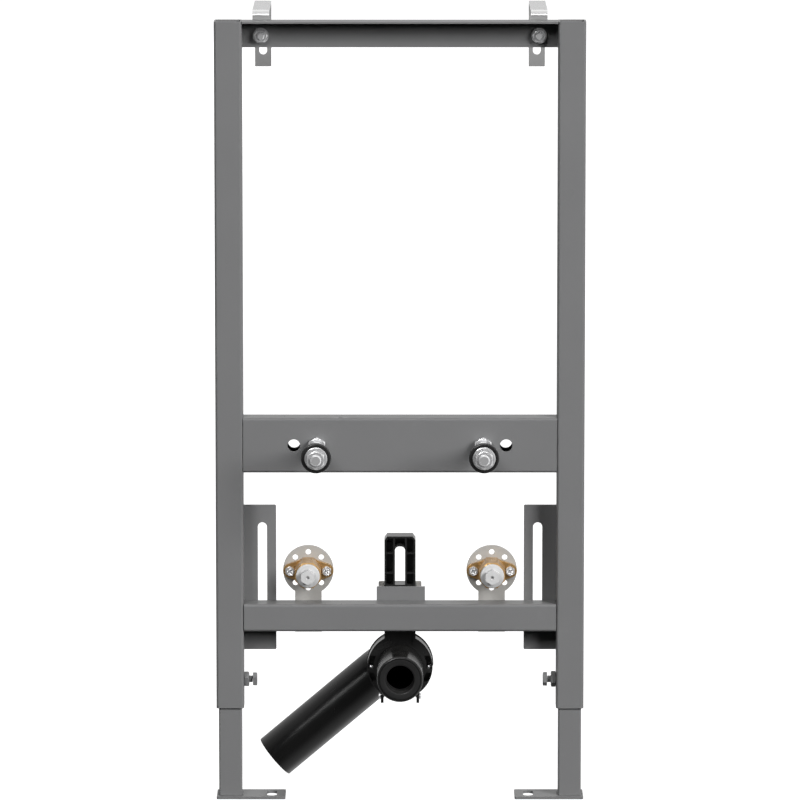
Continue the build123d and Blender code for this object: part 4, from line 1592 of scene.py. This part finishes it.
@dataclass
class Studio:
    """The plain pale floor, the soft lights and the camera, in metres and degrees."""

    camera_at: Point = (0.0, -7.106, 1.4795)
    camera_tilt: float = 81.5
    lens: float = 292.5
    lights: tuple[SoftBox, ...] = (
        SoftBox("key", KEY_PLACE, FRAME_MIDDLE, 4.0, 7.0, 1600.0, glossy=False),
        SoftBox("key_mirror", KEY_PLACE, FRAME_MIDDLE, 4.0, 7.0, 500.0, diffuse=False),
        SoftBox("left_fill", (-3.74, -8.34, 6.78), FRAME_MIDDLE, 3.0, 4.6, 540.0),
        SoftBox("rear_fill", (-3.0, 8.0, 1.6), FRAME_MIDDLE, 4.0, 2.4, 380.0, glossy=False),
        SoftBox("overhead", (-0.4, -3.0, 2.6), (0.0, -0.1, 0.3), 3.2, 0.3, 34.0, diffuse=False),
    )

    def build(self) -> None:
        """Build the whole studio."""
        self.build_camera()
        self.build_floor()
        self.build_world()
        for light in self.lights:
            light.hang()
        bpy.context.scene.view_settings.view_transform = "Standard"

    def build_camera(self) -> None:
        """Set the camera at the photograph's place and angle."""
        camera = bpy.data.cameras.new("camera")
        camera.lens = self.lens
        camera.sensor_width = 36.0
        camera.clip_end = 100.0
        holder = bpy.data.objects.new("camera", camera)
        bpy.context.scene.collection.objects.link(holder)
        holder.location = self.camera_at
        holder.rotation_euler = (math.radians(self.camera_tilt), 0.0, 0.0)
        bpy.context.scene.camera = holder

    def build_floor(self) -> None:
        """Lay the pale floor, which catches a faint shadow."""
        clear_selection()
        bpy.ops.mesh.primitive_plane_add(size=60.0, location=(0, 0, 0))
        floor = named("studio_floor")
        paint = bpy.data.materials.new("studio_floor")
        paint.use_nodes = True
        tree = Tree(paint.node_tree)
        shader = paint.node_tree.nodes["Principled BSDF"]
        for name, value in (
            ("Base Color", (0.3, 0.3, 0.3, 1)),
            ("Specular IOR Level", 0.1),
            ("Emission Color", (1, 1, 1, 1)),
            ("Emission Strength", 1.0),
        ):
            shader.inputs[name].default_value = value
        spot = tree.add("ShaderNodeTexCoord").outputs["Object"]
        tree.join(tree.spread(tree.noise(spot, 3.0), 0.3, 0.7, 0.86, 0.9), shader, "Roughness")
        floor.data.materials.append(paint)
        floor.visible_diffuse = False
        floor.visible_glossy = False

    def build_world(self) -> None:
        """Light the scene softly from all round, darker from below and from the left."""
        world = bpy.data.worlds.new("studio_room")
        bpy.context.scene.world = world
        world.use_nodes = True
        tree = Tree(world.node_tree)
        background = world.node_tree.nodes["Background"]
        direction = tree.add("ShaderNodeTexCoord").outputs["Generated"]
        parts = tree.add("ShaderNodeSeparateXYZ", {"Vector": direction})
        across, deep, high = (parts.outputs[axis] for axis in "XYZ")
        mirrored: Socket = tree.spread(deep, 0.0, 0.5, 0.11, 0.75)
        for axis, start, end, level in (
            (high, 0.55, 0.95, 0.9),
            (high, -0.45, -0.9, 0.35),
            (across, 0.3, 0.8, 0.7),
            (across, -0.4, -0.9, 0.3),
        ):
            mirrored = tree.math("ADD", mirrored, tree.spread(axis, start, end, 0.0, level))
        soft = tree.spread(high, -0.3, 1.0, 0.003, 0.035)
        rays = tree.add("ShaderNodeLightPath")
        unseen = tree.mix(rays.outputs["Is Glossy Ray"], soft, mirrored)
        tree.join(tree.mix(rays.outputs["Is Camera Ray"], unseen, (1, 1, 1, 1)), background, "Color")


def main() -> None:
    """Build the studio and every sub-assembly in order."""
    logging.basicConfig(level=logging.INFO, format="%(message)s")
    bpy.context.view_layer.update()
    Studio().build()
    MainFrame().build()
    for side, sign in SIDES:
        Leg(side, sign, Body.LEFT_FOOT if sign < 0 else Body.RIGHT_FOOT).build()
    WallHooks().build()
    Studs().build()
    WaterConnections().build()
    ConnectionRail().build()
    DrainHolder().build()
    DrainBend().build()


if __name__ == "__main__":
    main()
